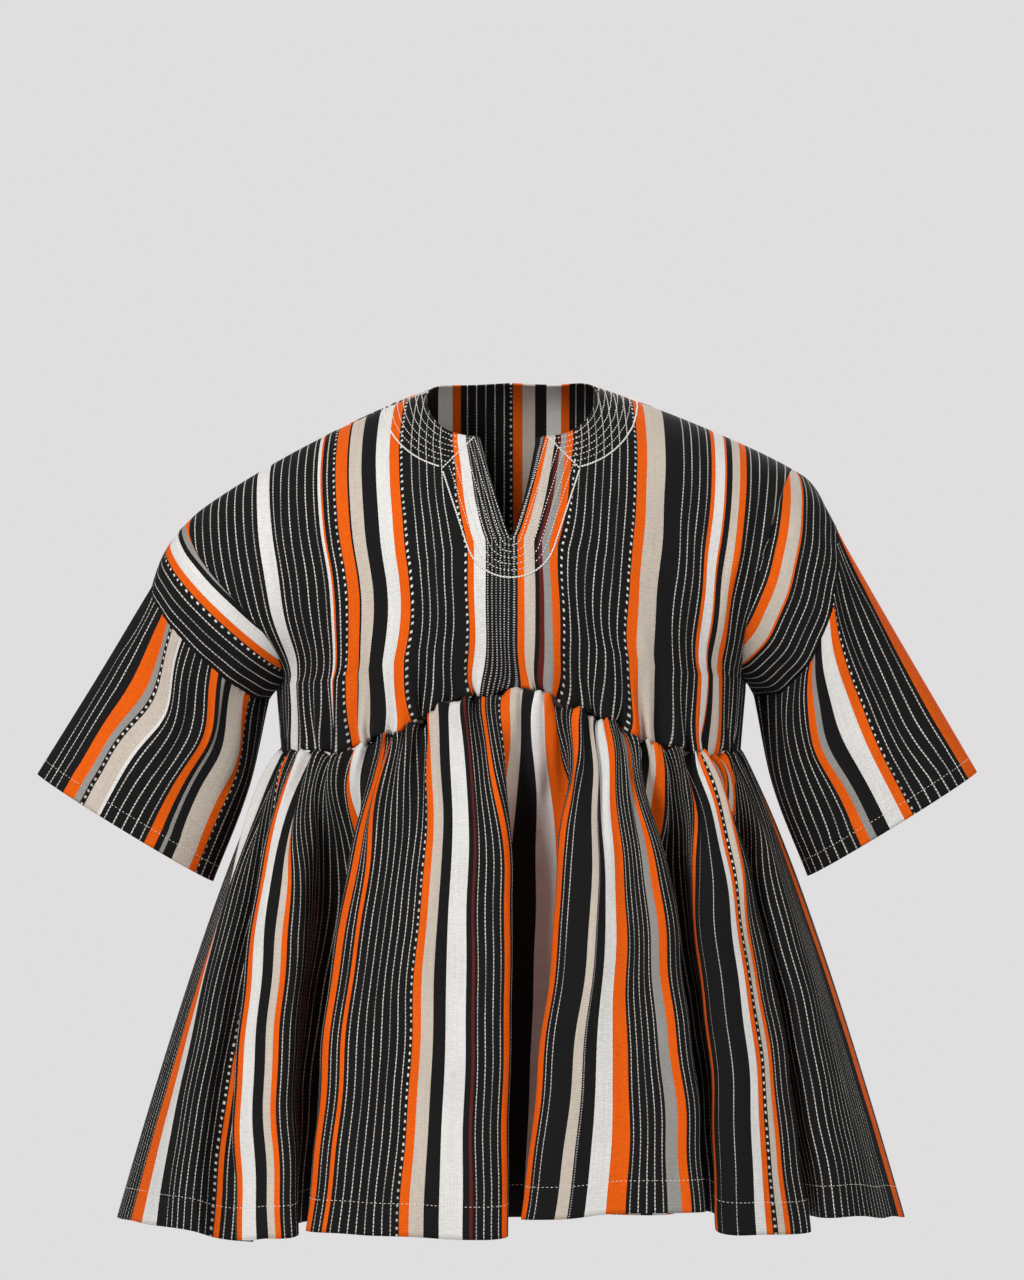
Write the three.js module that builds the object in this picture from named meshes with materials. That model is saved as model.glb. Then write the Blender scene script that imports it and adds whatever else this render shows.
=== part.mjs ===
// Fugu smock: a loose pullover of hand-woven cotton strips, hollow and open as it hangs on a wearer.
// Millimetres, +Z up. The wearer faces -Y, so +X is the wearer's left.
// The origin is the middle of the neck hole, level with the shoulders at the neck, where the wearer carries it.
//
// The yoke is one smooth surface that runs from the front waist seam over the shoulders to the back waist
// seam. The skirt is a flat length of strip cloth, gathered to the yoke and hanging in deep folds. Each arm
// has a band of one strip round it and a wide short sleeve.
import * as THREE from "three";

// ---- Cloth and seams ----
const WALL = 1.6; // thickness of the cloth, with its turnings
const SEAM_GAP = 0.3; // between two pieces at a seam

// ---- Neck ----
// Seen from above. square: 2 for an ellipse, more for a squarer hole.
const NECK_HOLE = { halfWidth: 79, front: -98, back: 64, square: { front: 3, back: 2.4 } };
const SLIT = { halfOpening: 28, rounding: 0.75, reach: 55 };

// ---- Armholes, band seams and cuffs ----
// Each is a tilted ring round the arm, given by its under and upper points on the wearer's left side. bow: how
// far its front and back lie down the arm. sway: how far they bend up the arm below and down it above.
// The smock hangs unevenly, so the two arms differ.
const ARM_RINGS = {
  left: {
    armhole: { under: [218, 0, -270], upper: [262, 5, -74], front: 88, back: 78, bow: -14, sway: 2 },
    bandSeam: { under: [226, 6, -284], upper: [292, 8, -113], front: 76, back: 74, bow: 36, sway: -4 },
    elbow: { under: [243, 8, -366], upper: [370, 9, -246], front: 66, back: 66, bow: 4, sway: 0 },
    cuff: { under: [276, 8, -452], upper: [434, 10, -355], front: 55, back: 55, bow: 0, sway: 0 },
  },
  right: {
    armhole: { under: [217, 0, -277], upper: [290, 5, -114], front: 85, back: 76, bow: 0, sway: 15 },
    bandSeam: { under: [225, 6, -288], upper: [334, 8, -182], front: 70, back: 70, bow: 14, sway: 0 },
    elbow: { under: [243, 8, -368], upper: [382, 9, -262], front: 64, back: 64, bow: 2, sway: 0 },
    cuff: { under: [277, 8, -457], upper: [441, 10, -357], front: 55, back: 55, bow: 0, sway: 0 },
  },
};
const SIDE_SEAM_FOOT = [212, 0, -336];

// ---- Yoke sections, from the front waist seam (0) over the shoulder line (1) to the back waist seam (2) ----
// centreY, centreZ: the section's middle point. flat: how square its middle is. turn: how round it turns at
// the side. arch: 0 for the seam's bell shape, 1 for a section whose height falls as its depth does.
const YOKE_SECTIONS = [
  { at: 0.0, centreY: -150, centreZ: -277, flat: 2.3, turn: 2.1, arch: 0.0 }, // front waist seam
  { at: 0.15, centreY: -161, centreZ: -226, flat: 2.2, turn: 1.8, arch: 0.2 }, // under the chest
  { at: 0.3, centreY: -161, centreZ: -170, flat: 2.1, turn: 1.5, arch: 0.5 }, // chest
  { at: 0.46, centreY: -143, centreZ: -112, flat: 2.0, turn: 1.3, arch: 0.8 }, // collar bone
  { at: 0.66, centreY: -100, centreZ: -48, flat: 1.8, turn: 1.15, arch: 1.0 }, // front of the neck hole
  { at: 0.86, centreY: -40, centreZ: 7, flat: 1.5, turn: 1.15, arch: 1.0 },
  { at: 1.0, centreY: 5, centreZ: 24, flat: 1.2, turn: 1.1, arch: 1.0 }, // shoulder line
  { at: 1.14, centreY: 48, centreZ: 17, flat: 1.5, turn: 1.15, arch: 1.0 },
  { at: 1.3, centreY: 92, centreZ: -14, flat: 1.8, turn: 1.15, arch: 1.0 }, // below the nape
  { at: 1.5, centreY: 124, centreZ: -92, flat: 2.0, turn: 1.3, arch: 0.8 }, // shoulder blades
  { at: 1.7, centreY: 134, centreZ: -178, flat: 2.1, turn: 1.5, arch: 0.5 },
  { at: 1.86, centreY: 130, centreZ: -252, flat: 2.2, turn: 1.8, arch: 0.2 }, // under the blades
  { at: 2.0, centreY: 120, centreZ: -316, flat: 2.3, turn: 2.1, arch: 0.0 }, // back waist seam
];

// ---- Gathers at the waist seam ----
const GATHERS = 26; // on the front, and as many on the back
const GATHER_DEPTH = { seam: 3.2, below: 6.5, yoke: 2.6 };
const GATHER_SEEDS = { [-1]: 1, [1]: 4 }; // front and back are gathered unevenly in ways of their own
const GATHER_FADE = { skirt: 0.2, yoke: 0.16 }; // how far they reach, as a share of each piece's height

// ---- Skirt ----
// flare: under 1, the skirt spreads more near the waist than near the hem.
const HEM = { halfWidth: 366, front: 238, back: 222, flat: 2.2, turn: 2.0, flare: 0.8 };
const FOLD_RISE = 0.3; // share of the skirt's height over which the folds open to their full depth
// Folds along the hem, from the right side seam of the wearer to the left one. x: place on the hem.
// depth: how far the cloth lies behind the folds' crests. hemZ: height of the hem there.
const FRONT_FOLDS = [
  { x: -366, depth: 0, hemZ: -768 }, // side seam
  { x: -352, depth: 8, hemZ: -766 },
  { x: -322, depth: 0, hemZ: -762 },
  { x: -260, depth: 36, hemZ: -776 },
  { x: -225, depth: 0, hemZ: -768 },
  { x: -196, depth: 76, hemZ: -758 },
  { x: -165, depth: 2, hemZ: -760 },
  { x: -112, depth: 14, hemZ: -763 },
  { x: -28, depth: 0, hemZ: -764 },
  { x: 4, depth: 80, hemZ: -752 },
  { x: 36, depth: 0, hemZ: -746 },
  { x: 104, depth: 8, hemZ: -742 },
  { x: 158, depth: 2, hemZ: -742 },
  { x: 185, depth: 78, hemZ: -748 },
  { x: 220, depth: 0, hemZ: -764 },
  { x: 272, depth: 56, hemZ: -758 },
  { x: 328, depth: 0, hemZ: -752 },
  { x: 354, depth: 6, hemZ: -762 },
  { x: 366, depth: 0, hemZ: -768 }, // side seam
];
const BACK_FOLDS = [
  { x: -366, depth: 0, hemZ: -768 },
  { x: -352, depth: 34, hemZ: -772 },
  { x: -312, depth: 0, hemZ: -776 },
  { x: -262, depth: 60, hemZ: -778 },
  { x: -206, depth: 0, hemZ: -780 },
  { x: -142, depth: 72, hemZ: -782 },
  { x: -78, depth: 4, hemZ: -784 },
  { x: -8, depth: 76, hemZ: -784 },
  { x: 66, depth: 0, hemZ: -784 },
  { x: 134, depth: 70, hemZ: -782 },
  { x: 196, depth: 2, hemZ: -780 },
  { x: 256, depth: 58, hemZ: -778 },
  { x: 312, depth: 0, hemZ: -776 },
  { x: 352, depth: 34, hemZ: -772 },
  { x: 366, depth: 0, hemZ: -768 },
];

// ---- Sleeve folds ----
const SLEEVE_TUCKS = 12; // small gathers where the sleeve joins its band
const TUCK_DEPTH = 2.4;
const TUCK_FADE = 0.16;
const BAND_FILL = 7; // how far the middle of the upper sleeve stands out over the shoulder
// Soft troughs down each sleeve. turn: place round the sleeve, 0 under the arm and 0.5 on top, front first.
const SLEEVE_TROUGHS = [
  { turn: 0.16, width: 0.05, depth: 6 },
  { turn: 0.34, width: 0.04, depth: 5 },
  { turn: 0.66, width: 0.05, depth: 5 },
  { turn: 0.85, width: 0.05, depth: 6 },
];

// ---- Fineness of the solids ----
const YOKE_ROWS = { armpit: 3, slit: 7, top: 12 }; // rows of the yoke, counted up from the waist seam
const YOKE_PER_GATHER = 2;
const SKIRT_PER_GATHER = 4;
const SKIRT_ROWS = [0, 0.05, 0.13, 0.25, 0.42, 0.62, 0.81, 1];
const SLEEVE_ROWS = [0, 0.08, 0.2, 0.36, 0.56, 0.78, 1];
const BAND_ROWS = [0, 0.33, 0.67, 1];

const clamp = (x, low, high) => Math.min(high, Math.max(low, x));
const mix = (a, b, w) => a + (b - a) * w;
const smooth = (x) => {
  const w = clamp(x, 0, 1);
  return w * w * (3 - 2 * w);
};
const vec = (x, y, z) => new THREE.Vector3(x, y, z);

// A table's column at any place, by a cubic through its rows.
function readTable(rows, column, at) {
  const last = rows.length - 1;
  let k = rows.findIndex((row, i) => i < last && at < rows[i + 1].at);
  if (k < 0) k = last - 1;
  const [a, b] = [rows[k], rows[k + 1]];
  const before = rows[k - 1] ?? a;
  const after = rows[k + 2] ?? b;
  const w = (at - a.at) / (b.at - a.at);
  const slope = (p, q) => (q.at === p.at ? 0 : (q[column] - p[column]) / (q.at - p.at)) * (b.at - a.at);
  const m0 = slope(before, b);
  const m1 = slope(a, after);
  const w2 = w * w;
  const w3 = w2 * w;
  return (
    (2 * w3 - 3 * w2 + 1) * a[column] + (w3 - 2 * w2 + w) * m0 +
    (3 * w2 - 2 * w3) * b[column] + (w3 - w2) * m1
  );
}

// Points along a curve at equal shares of its length: returns a function of the share and the length.
function byLength(curve, samples = 160) {
  const points = [];
  for (let i = 0; i <= samples; i++) points.push(curve(i / samples));
  const run = [0];
  for (let i = 1; i <= samples; i++) run.push(run[i - 1] + points[i].distanceTo(points[i - 1]));
  const length = run[samples];
  const at = (share) => {
    const want = clamp(share, 0, 1) * length;
    let k = 1;
    while (k < samples && run[k] < want) k++;
    const w = (want - run[k - 1]) / Math.max(run[k] - run[k - 1], 1e-9);
    return points[k - 1].clone().lerp(points[k], w);
  };
  return { at, length };
}

// ---- Rings round the arm ----
// The direction down the left arm, square to a ring.
function downArm(ring) {
  const [x, , z] = vec(...ring.upper).sub(vec(...ring.under)).toArray();
  return vec(z, 0, -x).normalize();
}
// turn runs from the underside (0) over the front (0.25) to the top (0.5) and round the back to 1.
function ringPoint(ring, turn) {
  const fold = Math.min(turn, 1 - turn) * 2 * Math.PI;
  const p = vec(...ring.under).lerp(vec(...ring.upper), (1 - Math.cos(fold)) / 2);
  p.y += (turn < 0.5 ? -ring.front : ring.back) * Math.sin(fold);
  return p.addScaledVector(downArm(ring), ring.bow * Math.sin(fold) - ring.sway * Math.sin(2 * fold));
}

// ---- Yoke ----
// How far up a row of the yoke lies, as a share. Rows are closer near the gathers, and one row runs through
// the foot of the slit.
const SLIT_SHARE = 0.452;
function shareOfRow(row) {
  if (row <= YOKE_ROWS.slit) return SLIT_SHARE * Math.pow(row / YOKE_ROWS.slit, 1.25);
  return mix(SLIT_SHARE, 1, (row - YOKE_ROWS.slit) / (YOKE_ROWS.top - YOKE_ROWS.slit));
}
// The same on a line that ends at top, below the shoulder line: rows bend down towards the neck hole.
const riseOfShare = (share, top) => share - (1 - top) * share * share;
const ARMPIT_AT = shareOfRow(YOKE_ROWS.armpit);

// The side edge of a yoke section: up the side seam, then round the armhole to the shoulder.
function yokeSide(arm, t) {
  const { armhole } = ARM_RINGS[arm];
  const rise = t <= 1 ? t : 2 - t;
  if (rise < ARMPIT_AT) return vec(...SIDE_SEAM_FOOT).lerp(ringPoint(armhole, 0), rise / ARMPIT_AT);
  const half = ((rise - ARMPIT_AT) / (1 - ARMPIT_AT)) * 0.5;
  return ringPoint(armhole, t <= 1 ? half : 1 - half);
}

// Half a yoke section, from the middle out to one arm.
const yokeRows = new Map();
function yokeRow(arm, t) {
  const key = `${arm} ${t}`;
  if (yokeRows.has(key)) return yokeRows.get(key);
  const side = yokeSide(arm, t);
  const [centreY, centreZ, flat, turn, arch] = ["centreY", "centreZ", "flat", "turn", "arch"].map((column) =>
    readTable(YOKE_SECTIONS, column, t),
  );
  const row = byLength((w) => {
    const across = Math.sin((w * Math.PI) / 2);
    const deep = Math.pow(Math.max(0, 1 - Math.pow(across, flat)), 1 / turn);
    const high = mix(1 - smooth(across * 1.2), deep, arch);
    return vec(side.x * across, mix(side.y, centreY, deep), mix(side.z, centreZ, high));
  });
  yokeRows.set(key, row);
  return row;
}
const armOf = (s) => (s < 0 ? "right" : "left");

// A point of the yoke's surface on one section: s is the share from the middle (0) to a side (-1 or 1).
function yokeBase(s, t) {
  const p = yokeRow(armOf(s), t).at(Math.abs(s));
  if (s < 0) p.x = -p.x;
  return p;
}

// The first place between two at which something is reached, found by halving: the last place if it never is.
function climb(reached, from, to) {
  let [low, high] = [from, to];
  for (let i = 0; i < 40; i++) {
    const middle = (low + high) / 2;
    if (reached(middle)) high = middle;
    else low = middle;
  }
  return (low + high) / 2;
}
function inNeckHole(p) {
  const middle = (NECK_HOLE.front + NECK_HOLE.back) / 2;
  const deep = (NECK_HOLE.back - NECK_HOLE.front) / 2;
  const square = p.y < middle ? NECK_HOLE.square.front : NECK_HOLE.square.back;
  return Math.abs(p.x / NECK_HOLE.halfWidth) ** square + Math.abs((p.y - middle) / deep) ** square < 1;
}
const NECK_FRONT_AT = climb((t) => inNeckHole(yokeBase(0, t)), 0, 1);
const SLIT_AT = riseOfShare(SLIT_SHARE, NECK_FRONT_AT);

// How far the slit's edge has spread from the middle, as a share of the section. side tells its two edges apart.
function slitShift(s, side, t) {
  if (t <= SLIT_AT || t > 1) return 0;
  const grown = Math.pow(Math.min(1, (t - SLIT_AT) / (NECK_FRONT_AT - SLIT_AT)), SLIT.rounding);
  const shut = 1 - smooth((t - NECK_FRONT_AT) / (1 - NECK_FRONT_AT));
  const { length } = yokeRow(armOf(s), t);
  return (side * SLIT.halfOpening * grown * shut * Math.exp((-Math.abs(s) * length) / SLIT.reach)) / length;
}

// Uneven waves along the seam, 0 on a crest and -1 in a trough. s runs from -1 to 1, crests lie on the side seams.
function gatherWave(s, seed) {
  const lag = 0.035 * Math.sin(Math.PI * 3 * (s + 1) + seed) - 0.035 * Math.sin(seed);
  const ends = 1 - s * s;
  const wave = Math.cos(Math.PI * GATHERS * (s + 1 + lag * ends));
  const size = 0.75 + 0.25 * Math.sin(Math.PI * 5 * s + seed);
  return (size * (wave - 1)) / 2;
}

// The yoke's outer surface: face is -1 for the front and 1 for the back, side the edge of the slit.
function yokePoint(face, s, rise, side) {
  const t = face < 0 ? rise : 2 - rise;
  const shifted = s + slitShift(s, side, t);
  const depth = mix(GATHER_DEPTH.yoke, GATHER_DEPTH.seam, Math.exp(-rise / 0.03));
  const wave = depth * Math.exp(-rise / GATHER_FADE.yoke) * gatherWave(s, GATHER_SEEDS[face]);
  return yokeBase(shifted, t).addScaledVector(outward(yokeRow(armOf(s), t), shifted, face), wave);
}

// The level outward direction of a section at a share of its half length.
function outward(row, s, face) {
  const share = Math.abs(s);
  const ahead = row.at(Math.min(1, share + 0.01)).sub(row.at(Math.max(0, share - 0.01)));
  const out = vec(-face * ahead.y, face * ahead.x, 0).normalize();
  if (s < 0) out.x = -out.x;
  return out;
}

// ---- Skirt ----
// A skirt section at a height share: the waist seam at 0 and the hem at 1. s runs from one side seam to the other.
function skirtRow(face, t) {
  const top = yokeRow("left", face < 0 ? 0 : 2);
  const hemDepth = face < 0 ? -HEM.front : HEM.back;
  const hem = byLength((w) => {
    const across = Math.sin((w * Math.PI) / 2);
    const deep = Math.pow(Math.max(0, 1 - Math.pow(across, HEM.flat)), 1 / HEM.turn);
    return vec(HEM.halfWidth * across, hemDepth * deep, 0);
  });
  const flared = Math.pow(t, HEM.flare);
  const row = byLength((w) => top.at(w).lerp(hem.at(w).setZ(top.at(w).z), flared));
  return { at: row.at, length: row.length, seamZ: (s) => top.at(Math.abs(s)).z };
}

// The folds' table with each fold's place along the cloth, so that the cloth keeps its length between them.
function layFolds(face, folds) {
  const row = skirtRow(face, 1);
  let along = 0;
  const laid = folds.map((fold) => {
    const reach = climb((share) => row.at(share).x > Math.abs(fold.x), 0, 1);
    return { ...fold, s: Math.sign(fold.x) * reach };
  });
  laid.forEach((fold, i) => {
    if (i) {
      const before = laid[i - 1];
      const run = (fold.s - before.s) * row.length;
      const fall = fold.depth - before.depth;
      along += Math.hypot(run, (Math.PI / 2.6) * fall);
    }
    fold.at = along;
  });
  return laid;
}
const SKIRT_FRONT = { face: -1, folds: layFolds(-1, FRONT_FOLDS) };
const SKIRT_BACK = { face: 1, folds: layFolds(1, BACK_FOLDS) };

// Depth or hem height between two folds of the table, changing with a rounded slope.
function betweenFolds(folds, column, along) {
  let k = 0;
  while (k < folds.length - 2 && along > folds[k + 1].at) k++;
  const w = clamp((along - folds[k].at) / (folds[k + 1].at - folds[k].at), 0, 1);
  return mix(folds[k][column], folds[k + 1][column], (1 - Math.cos(Math.PI * w)) / 2);
}

// How far the cloth lies behind the skirt's section, at a place along it and a height share.
function skirtDepth(skirt, along, t) {
  const width = skirt.folds.at(-1).at;
  const s = (2 * along) / width - 1;
  const open = smooth(t / FOLD_RISE) * mix(1.05, 1, t);
  const grow = mix(GATHER_DEPTH.below, GATHER_DEPTH.seam, Math.exp(-t / 0.03));
  const gather = grow * Math.exp(-t / GATHER_FADE.skirt) * gatherWave(s, GATHER_SEEDS[skirt.face]);
  return gather - open * betweenFolds(skirt.folds, "depth", along);
}

// One row of the skirt's outer surface, at places along the cloth.
function skirtRowPoints(skirt, t, places) {
  const row = skirtRow(skirt.face, t);
  const width = skirt.folds.at(-1).at;
  const fine = 1600;
  const run = [0];
  for (let i = 1; i <= fine; i++) {
    const a = skirtDepth(skirt, ((i - 1) * width) / fine, t);
    const b = skirtDepth(skirt, (i * width) / fine, t);
    const slope = ((b - a) * fine) / width;
    run.push(run[i - 1] + Math.sqrt(Math.max(0.06, 1 - slope * slope)));
  }
  return places.map((along) => {
    const where = clamp((along / width) * fine, 0, fine);
    const k = Math.min(fine - 1, Math.floor(where));
    const s = (2 * mix(run[k], run[k + 1], where - k)) / run[fine] - 1;
    const p = row.at(Math.abs(s));
    if (s < 0) p.x = -p.x;
    const hemZ = betweenFolds(skirt.folds, "hemZ", along);
    p.z = mix(row.seamZ(s) - SEAM_GAP, hemZ, t);
    return p.addScaledVector(outward(row, s, skirt.face), skirtDepth(skirt, along, t));
  });
}

// ---- Sleeves ----
// A ring of the sleeve, between its band's seam (0) and its cuff (1).
function sleeveRing(arm, t) {
  const { bandSeam, elbow, cuff } = ARM_RINGS[arm];
  const rings = [bandSeam, elbow, cuff].map((ring, i) => ({ ...ring, at: [0, 0.42, 1][i] }));
  const read = (pick) => readTable(rings.map((ring) => ({ at: ring.at, value: pick(ring) })), "value", t);
  return {
    under: [0, 1, 2].map((i) => read((ring) => ring.under[i])),
    upper: [0, 1, 2].map((i) => read((ring) => ring.upper[i])),
    front: read((ring) => ring.front),
    back: read((ring) => ring.back),
    bow: read((ring) => ring.bow),
    sway: read((ring) => ring.sway),
  };
}
const middleOf = (ring) => vec(...ring.under).lerp(vec(...ring.upper), 0.5);

function sleevePoint(arm, turn, t) {
  const ring = sleeveRing(arm, t);
  const p = ringPoint(ring, turn);
  let dip = TUCK_DEPTH * Math.exp(-t / TUCK_FADE) * (0.5 - 0.5 * Math.cos(2 * Math.PI * SLEEVE_TUCKS * turn));
  for (const trough of SLEEVE_TROUGHS) {
    const away = (turn - trough.turn) / trough.width;
    dip += trough.depth * Math.exp(-away * away) * Math.sin(Math.PI * clamp(t * 1.15, 0, 1)) ** 0.6;
  }
  return p.addScaledVector(middleOf(ring).sub(p).normalize(), dip);
}
// The band between the armhole and the sleeve. It stands out a little over the shoulder.
function bandPoint(arm, turn, t) {
  const { armhole } = ARM_RINGS[arm];
  const p = ringPoint(armhole, turn).lerp(sleevePoint(arm, turn, 0), t);
  const fill = BAND_FILL * Math.sin(Math.PI * t) * Math.sin(Math.PI * turn) ** 2;
  return p.addScaledVector(p.clone().sub(middleOf(armhole)).normalize(), fill);
}

// ---- Walls ----
// A sheet is rows of outer points. Seen from outside, its columns run to the right and its rows run up.
// Directions out of a sheet, from each point's neighbours. A twin is the first of two columns that lie on each
// other where the sheet is whole, and stand apart where it is slit.
function outwardOf(sheet, { ring = false, twin = -1 } = {}) {
  const columns = sheet[0].length;
  const beside = (i, step) => {
    if (ring) return (i + step + columns) % columns;
    const onTwin = (i === twin && step > 0) || (i === twin + 1 && step < 0);
    return clamp(i + (onTwin ? 2 * step : step), 0, columns - 1);
  };
  const upward = (j, i) => sheet[Math.min(sheet.length - 1, j + 1)][i].clone().sub(sheet[Math.max(0, j - 1)][i]);
  return sheet.map((row, j) =>
    row.map((_, i) => {
      const along = row[beside(i, 1)].clone().sub(row[beside(i, -1)]);
      const up = upward(j, i);
      if (twin >= 0 && (i === twin || i === twin + 1)) up.add(upward(j, 2 * twin + 1 - i));
      return along.cross(up).normalize();
    }),
  );
}

// One closed body: the sheet, its copy one wall behind it, and strips round every open edge.
function wall(name, sheet, normals, colour, { ring = false, twin = -1 } = {}) {
  const columns = sheet[0].length;
  const numbers = new Map();
  const position = [];
  const numberOf = (p) => {
    const key = p.toArray().map((v) => Math.round(v * 1000) + 0).join();
    if (!numbers.has(key)) {
      numbers.set(key, position.length / 3);
      position.push(...p.toArray());
    }
    return numbers.get(key);
  };
  const outer = sheet.map((row) => row.map(numberOf));
  const inner = sheet.map((row, j) => row.map((p, i) => numberOf(p.clone().addScaledVector(normals[j][i], -WALL))));

  const index = [];
  const openEdges = new Map();
  const addTriangle = (corners) => {
    const [a, b, c] = corners.map(([j, i]) => outer[j][i]);
    const [A, B, C] = corners.map(([j, i]) => inner[j][i]);
    index.push(a, b, c, A, C, B);
    for (const [p, q, P, Q] of [[a, b, A, B], [b, c, B, C], [c, a, C, A]]) {
      if (!openEdges.delete(`${q},${p}`)) openEdges.set(`${p},${q}`, [p, q, P, Q]);
    }
  };
  for (let j = 0; j < sheet.length - 1; j++) {
    for (let i = 0; i < (ring ? columns : columns - 1); i++) {
      if (i === twin) continue;
      const k = (i + 1) % columns;
      const [low, right, high, left] = [[j, i], [j, k], [j + 1, k], [j + 1, i]];
      const lengthOf = ([ja, ia], [jb, ib]) => sheet[ja][ia].distanceTo(sheet[jb][ib]);
      const cut = lengthOf(low, high) <= lengthOf(right, left) ? [low, right, high, left] : [right, high, left, low];
      addTriangle([cut[0], cut[1], cut[2]]);
      addTriangle([cut[0], cut[2], cut[3]]);
    }
  }
  for (const [p, q, P, Q] of openEdges.values()) index.push(q, p, P, q, P, Q);

  const geometry = new THREE.BufferGeometry();
  geometry.setAttribute("position", new THREE.Float32BufferAttribute(position, 3));
  geometry.setIndex(index);
  geometry.computeVertexNormals();
  const cloth = new THREE.MeshStandardMaterial({ color: colour, roughness: 0.9, metalness: 0 });
  const mesh = new THREE.Mesh(geometry, cloth);
  mesh.name = name;
  return mesh;
}

// The mirror image of a sheet or of its directions, for the other arm.
const mirrored = (rows) => rows.map((row) => row.map((p) => vec(-p.x, p.y, p.z)).reverse());

// Turns the directions along a seam, so that the walls on its two sides stay clear of each other.
// across points out of the piece, over the seam.
function keepOff(direction, across) {
  const over = direction.dot(across);
  if (over < 0) direction.addScaledVector(across, -over).normalize();
}
const UP = vec(0, 0, 1);
const BACKWARD = vec(0, 1, 0);

// ---- Pieces ----
function yokePiece(name, face, colour) {
  const half = (GATHERS * YOKE_PER_GATHER) / 2;
  const columns = [];
  for (let i = -half; i <= half; i++) {
    columns.push({ s: i / half, side: Math.sign(i) || -1 });
    if (i === 0 && face < 0) columns.push({ s: 0, side: 1 });
  }
  if (face > 0) columns.reverse();
  for (const column of columns) {
    const side = column.s < 0 ? -1 : 1; // the slit's two edges are equally long
    column.top = climb((rise) => inNeckHole(yokePoint(face, column.s, rise, side)), 0, 1);
  }

  const sheet = [];
  for (let j = 0; j <= YOKE_ROWS.top; j++) {
    const share = shareOfRow(j);
    const footOfSlit = face < 0 && j === YOKE_ROWS.slit;
    sheet.push(
      columns.map(({ s, side, top }) => {
        const rise = footOfSlit && s === 0 ? SLIT_AT : riseOfShare(share, top);
        return yokePoint(face, s, rise, side);
      }),
    );
  }
  const twin = face < 0 ? half : -1;
  const normals = outwardOf(sheet, { twin });

  const across = BACKWARD.clone().multiplyScalar(-face);
  columns.forEach(({ s, top }, i) => {
    keepOff(normals[0][i], UP.clone().negate());
    if (top > 0.999) {
      sheet.at(-1)[i].y += (face * SEAM_GAP) / 2;
      keepOff(normals.at(-1)[i], across);
    }
    if (Math.abs(s) < 1) return;
    const outOfArmhole = downArm(ARM_RINGS[armOf(s)].armhole);
    outOfArmhole.x *= s;
    sheet.forEach((row, j) => {
      if (j <= YOKE_ROWS.armpit) {
        row[i].y += (face * SEAM_GAP) / 2;
        keepOff(normals[j][i], across);
      } else {
        keepOff(normals[j][i], outOfArmhole);
      }
    });
  });
  return wall(name, sheet, normals, colour, { twin });
}

function skirtPiece(name, skirt, colour) {
  const count = GATHERS * SKIRT_PER_GATHER;
  const width = skirt.folds.at(-1).at;
  const places = Array.from({ length: count + 1 }, (_, i) => (i * width) / count);
  if (skirt.face > 0) places.reverse();
  const sheet = SKIRT_ROWS.map((t) => skirtRowPoints(skirt, t, places)).reverse();
  const normals = outwardOf(sheet);

  const across = BACKWARD.clone().multiplyScalar(-skirt.face);
  normals.at(-1).forEach((normal) => keepOff(normal, UP));
  sheet.forEach((row, j) => {
    for (const i of [0, count]) {
      row[i].y = (skirt.face * SEAM_GAP) / 2;
      keepOff(normals[j][i], across);
    }
  });
  return wall(name, sheet, normals, colour);
}

// Places round the arm: one for each yoke row at the armhole, and one between each two.
const ARM_TURNS = [];
for (let j = YOKE_ROWS.armpit; j < YOKE_ROWS.top; j++) {
  const [here, next] = [j, j + 1].map((row) => ((shareOfRow(row) - ARMPIT_AT) / (1 - ARMPIT_AT)) * 0.5);
  ARM_TURNS.push(here, (here + next) / 2);
}
ARM_TURNS.push(0.5);
ARM_TURNS.push(...ARM_TURNS.slice(1, -1).map((turn) => 1 - turn).reverse());

// Pieces of an arm are made on the left side; the right one's are mirrored into place.
function armPiece(name, arm, sheet, normals, colour) {
  const sides = arm === "left" ? [sheet, normals] : [mirrored(sheet), mirrored(normals)];
  return wall(`${name}_${arm}`, ...sides, colour, { ring: true });
}

function upperSleevePiece(arm, colour) {
  const { armhole, bandSeam } = ARM_RINGS[arm];
  const sheet = BAND_ROWS.map((t) => ARM_TURNS.map((turn) => bandPoint(arm, turn, t))).reverse();
  // Between the yoke's rows the upper edge follows the straight edge of the yoke.
  const edge = sheet.at(-1);
  edge.forEach((p, i) => {
    if (i % 2) p.copy(edge[i - 1]).lerp(edge[(i + 1) % edge.length], 0.5);
  });
  const normals = outwardOf(sheet, { ring: true });
  edge.forEach((p) => p.addScaledVector(downArm(armhole), SEAM_GAP));
  sheet[0].forEach((p) => p.addScaledVector(downArm(bandSeam), -SEAM_GAP / 2));
  normals.at(-1).forEach((normal) => keepOff(normal, downArm(armhole).negate()));
  normals[0].forEach((normal) => keepOff(normal, downArm(bandSeam)));
  return armPiece("upper_sleeve", arm, sheet, normals, colour);
}

function lowerSleevePiece(arm, colour) {
  const sheet = SLEEVE_ROWS.map((t) => ARM_TURNS.map((turn) => sleevePoint(arm, turn, t))).reverse();
  const normals = outwardOf(sheet, { ring: true });
  const upArm = downArm(ARM_RINGS[arm].bandSeam).negate();
  sheet.at(-1).forEach((p) => p.addScaledVector(upArm, -SEAM_GAP / 2));
  normals.at(-1).forEach((normal) => keepOff(normal, upArm));
  return armPiece("lower_sleeve", arm, sheet, normals, colour);
}

const smock = new THREE.Group();
smock.name = "fugu_smock";
smock.add(
  yokePiece("yoke_front", -1, 0x5b4a42),
  yokePiece("yoke_back", 1, 0x5b4a42),
  skirtPiece("skirt_front", SKIRT_FRONT, 0x665046),
  skirtPiece("skirt_back", SKIRT_BACK, 0x665046),
  upperSleevePiece("left", 0x6e4a34),
  upperSleevePiece("right", 0x6e4a34),
  lowerSleevePiece("left", 0x5e4c44),
  lowerSleevePiece("right", 0x5e4c44),
);
export default smock;
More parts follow.
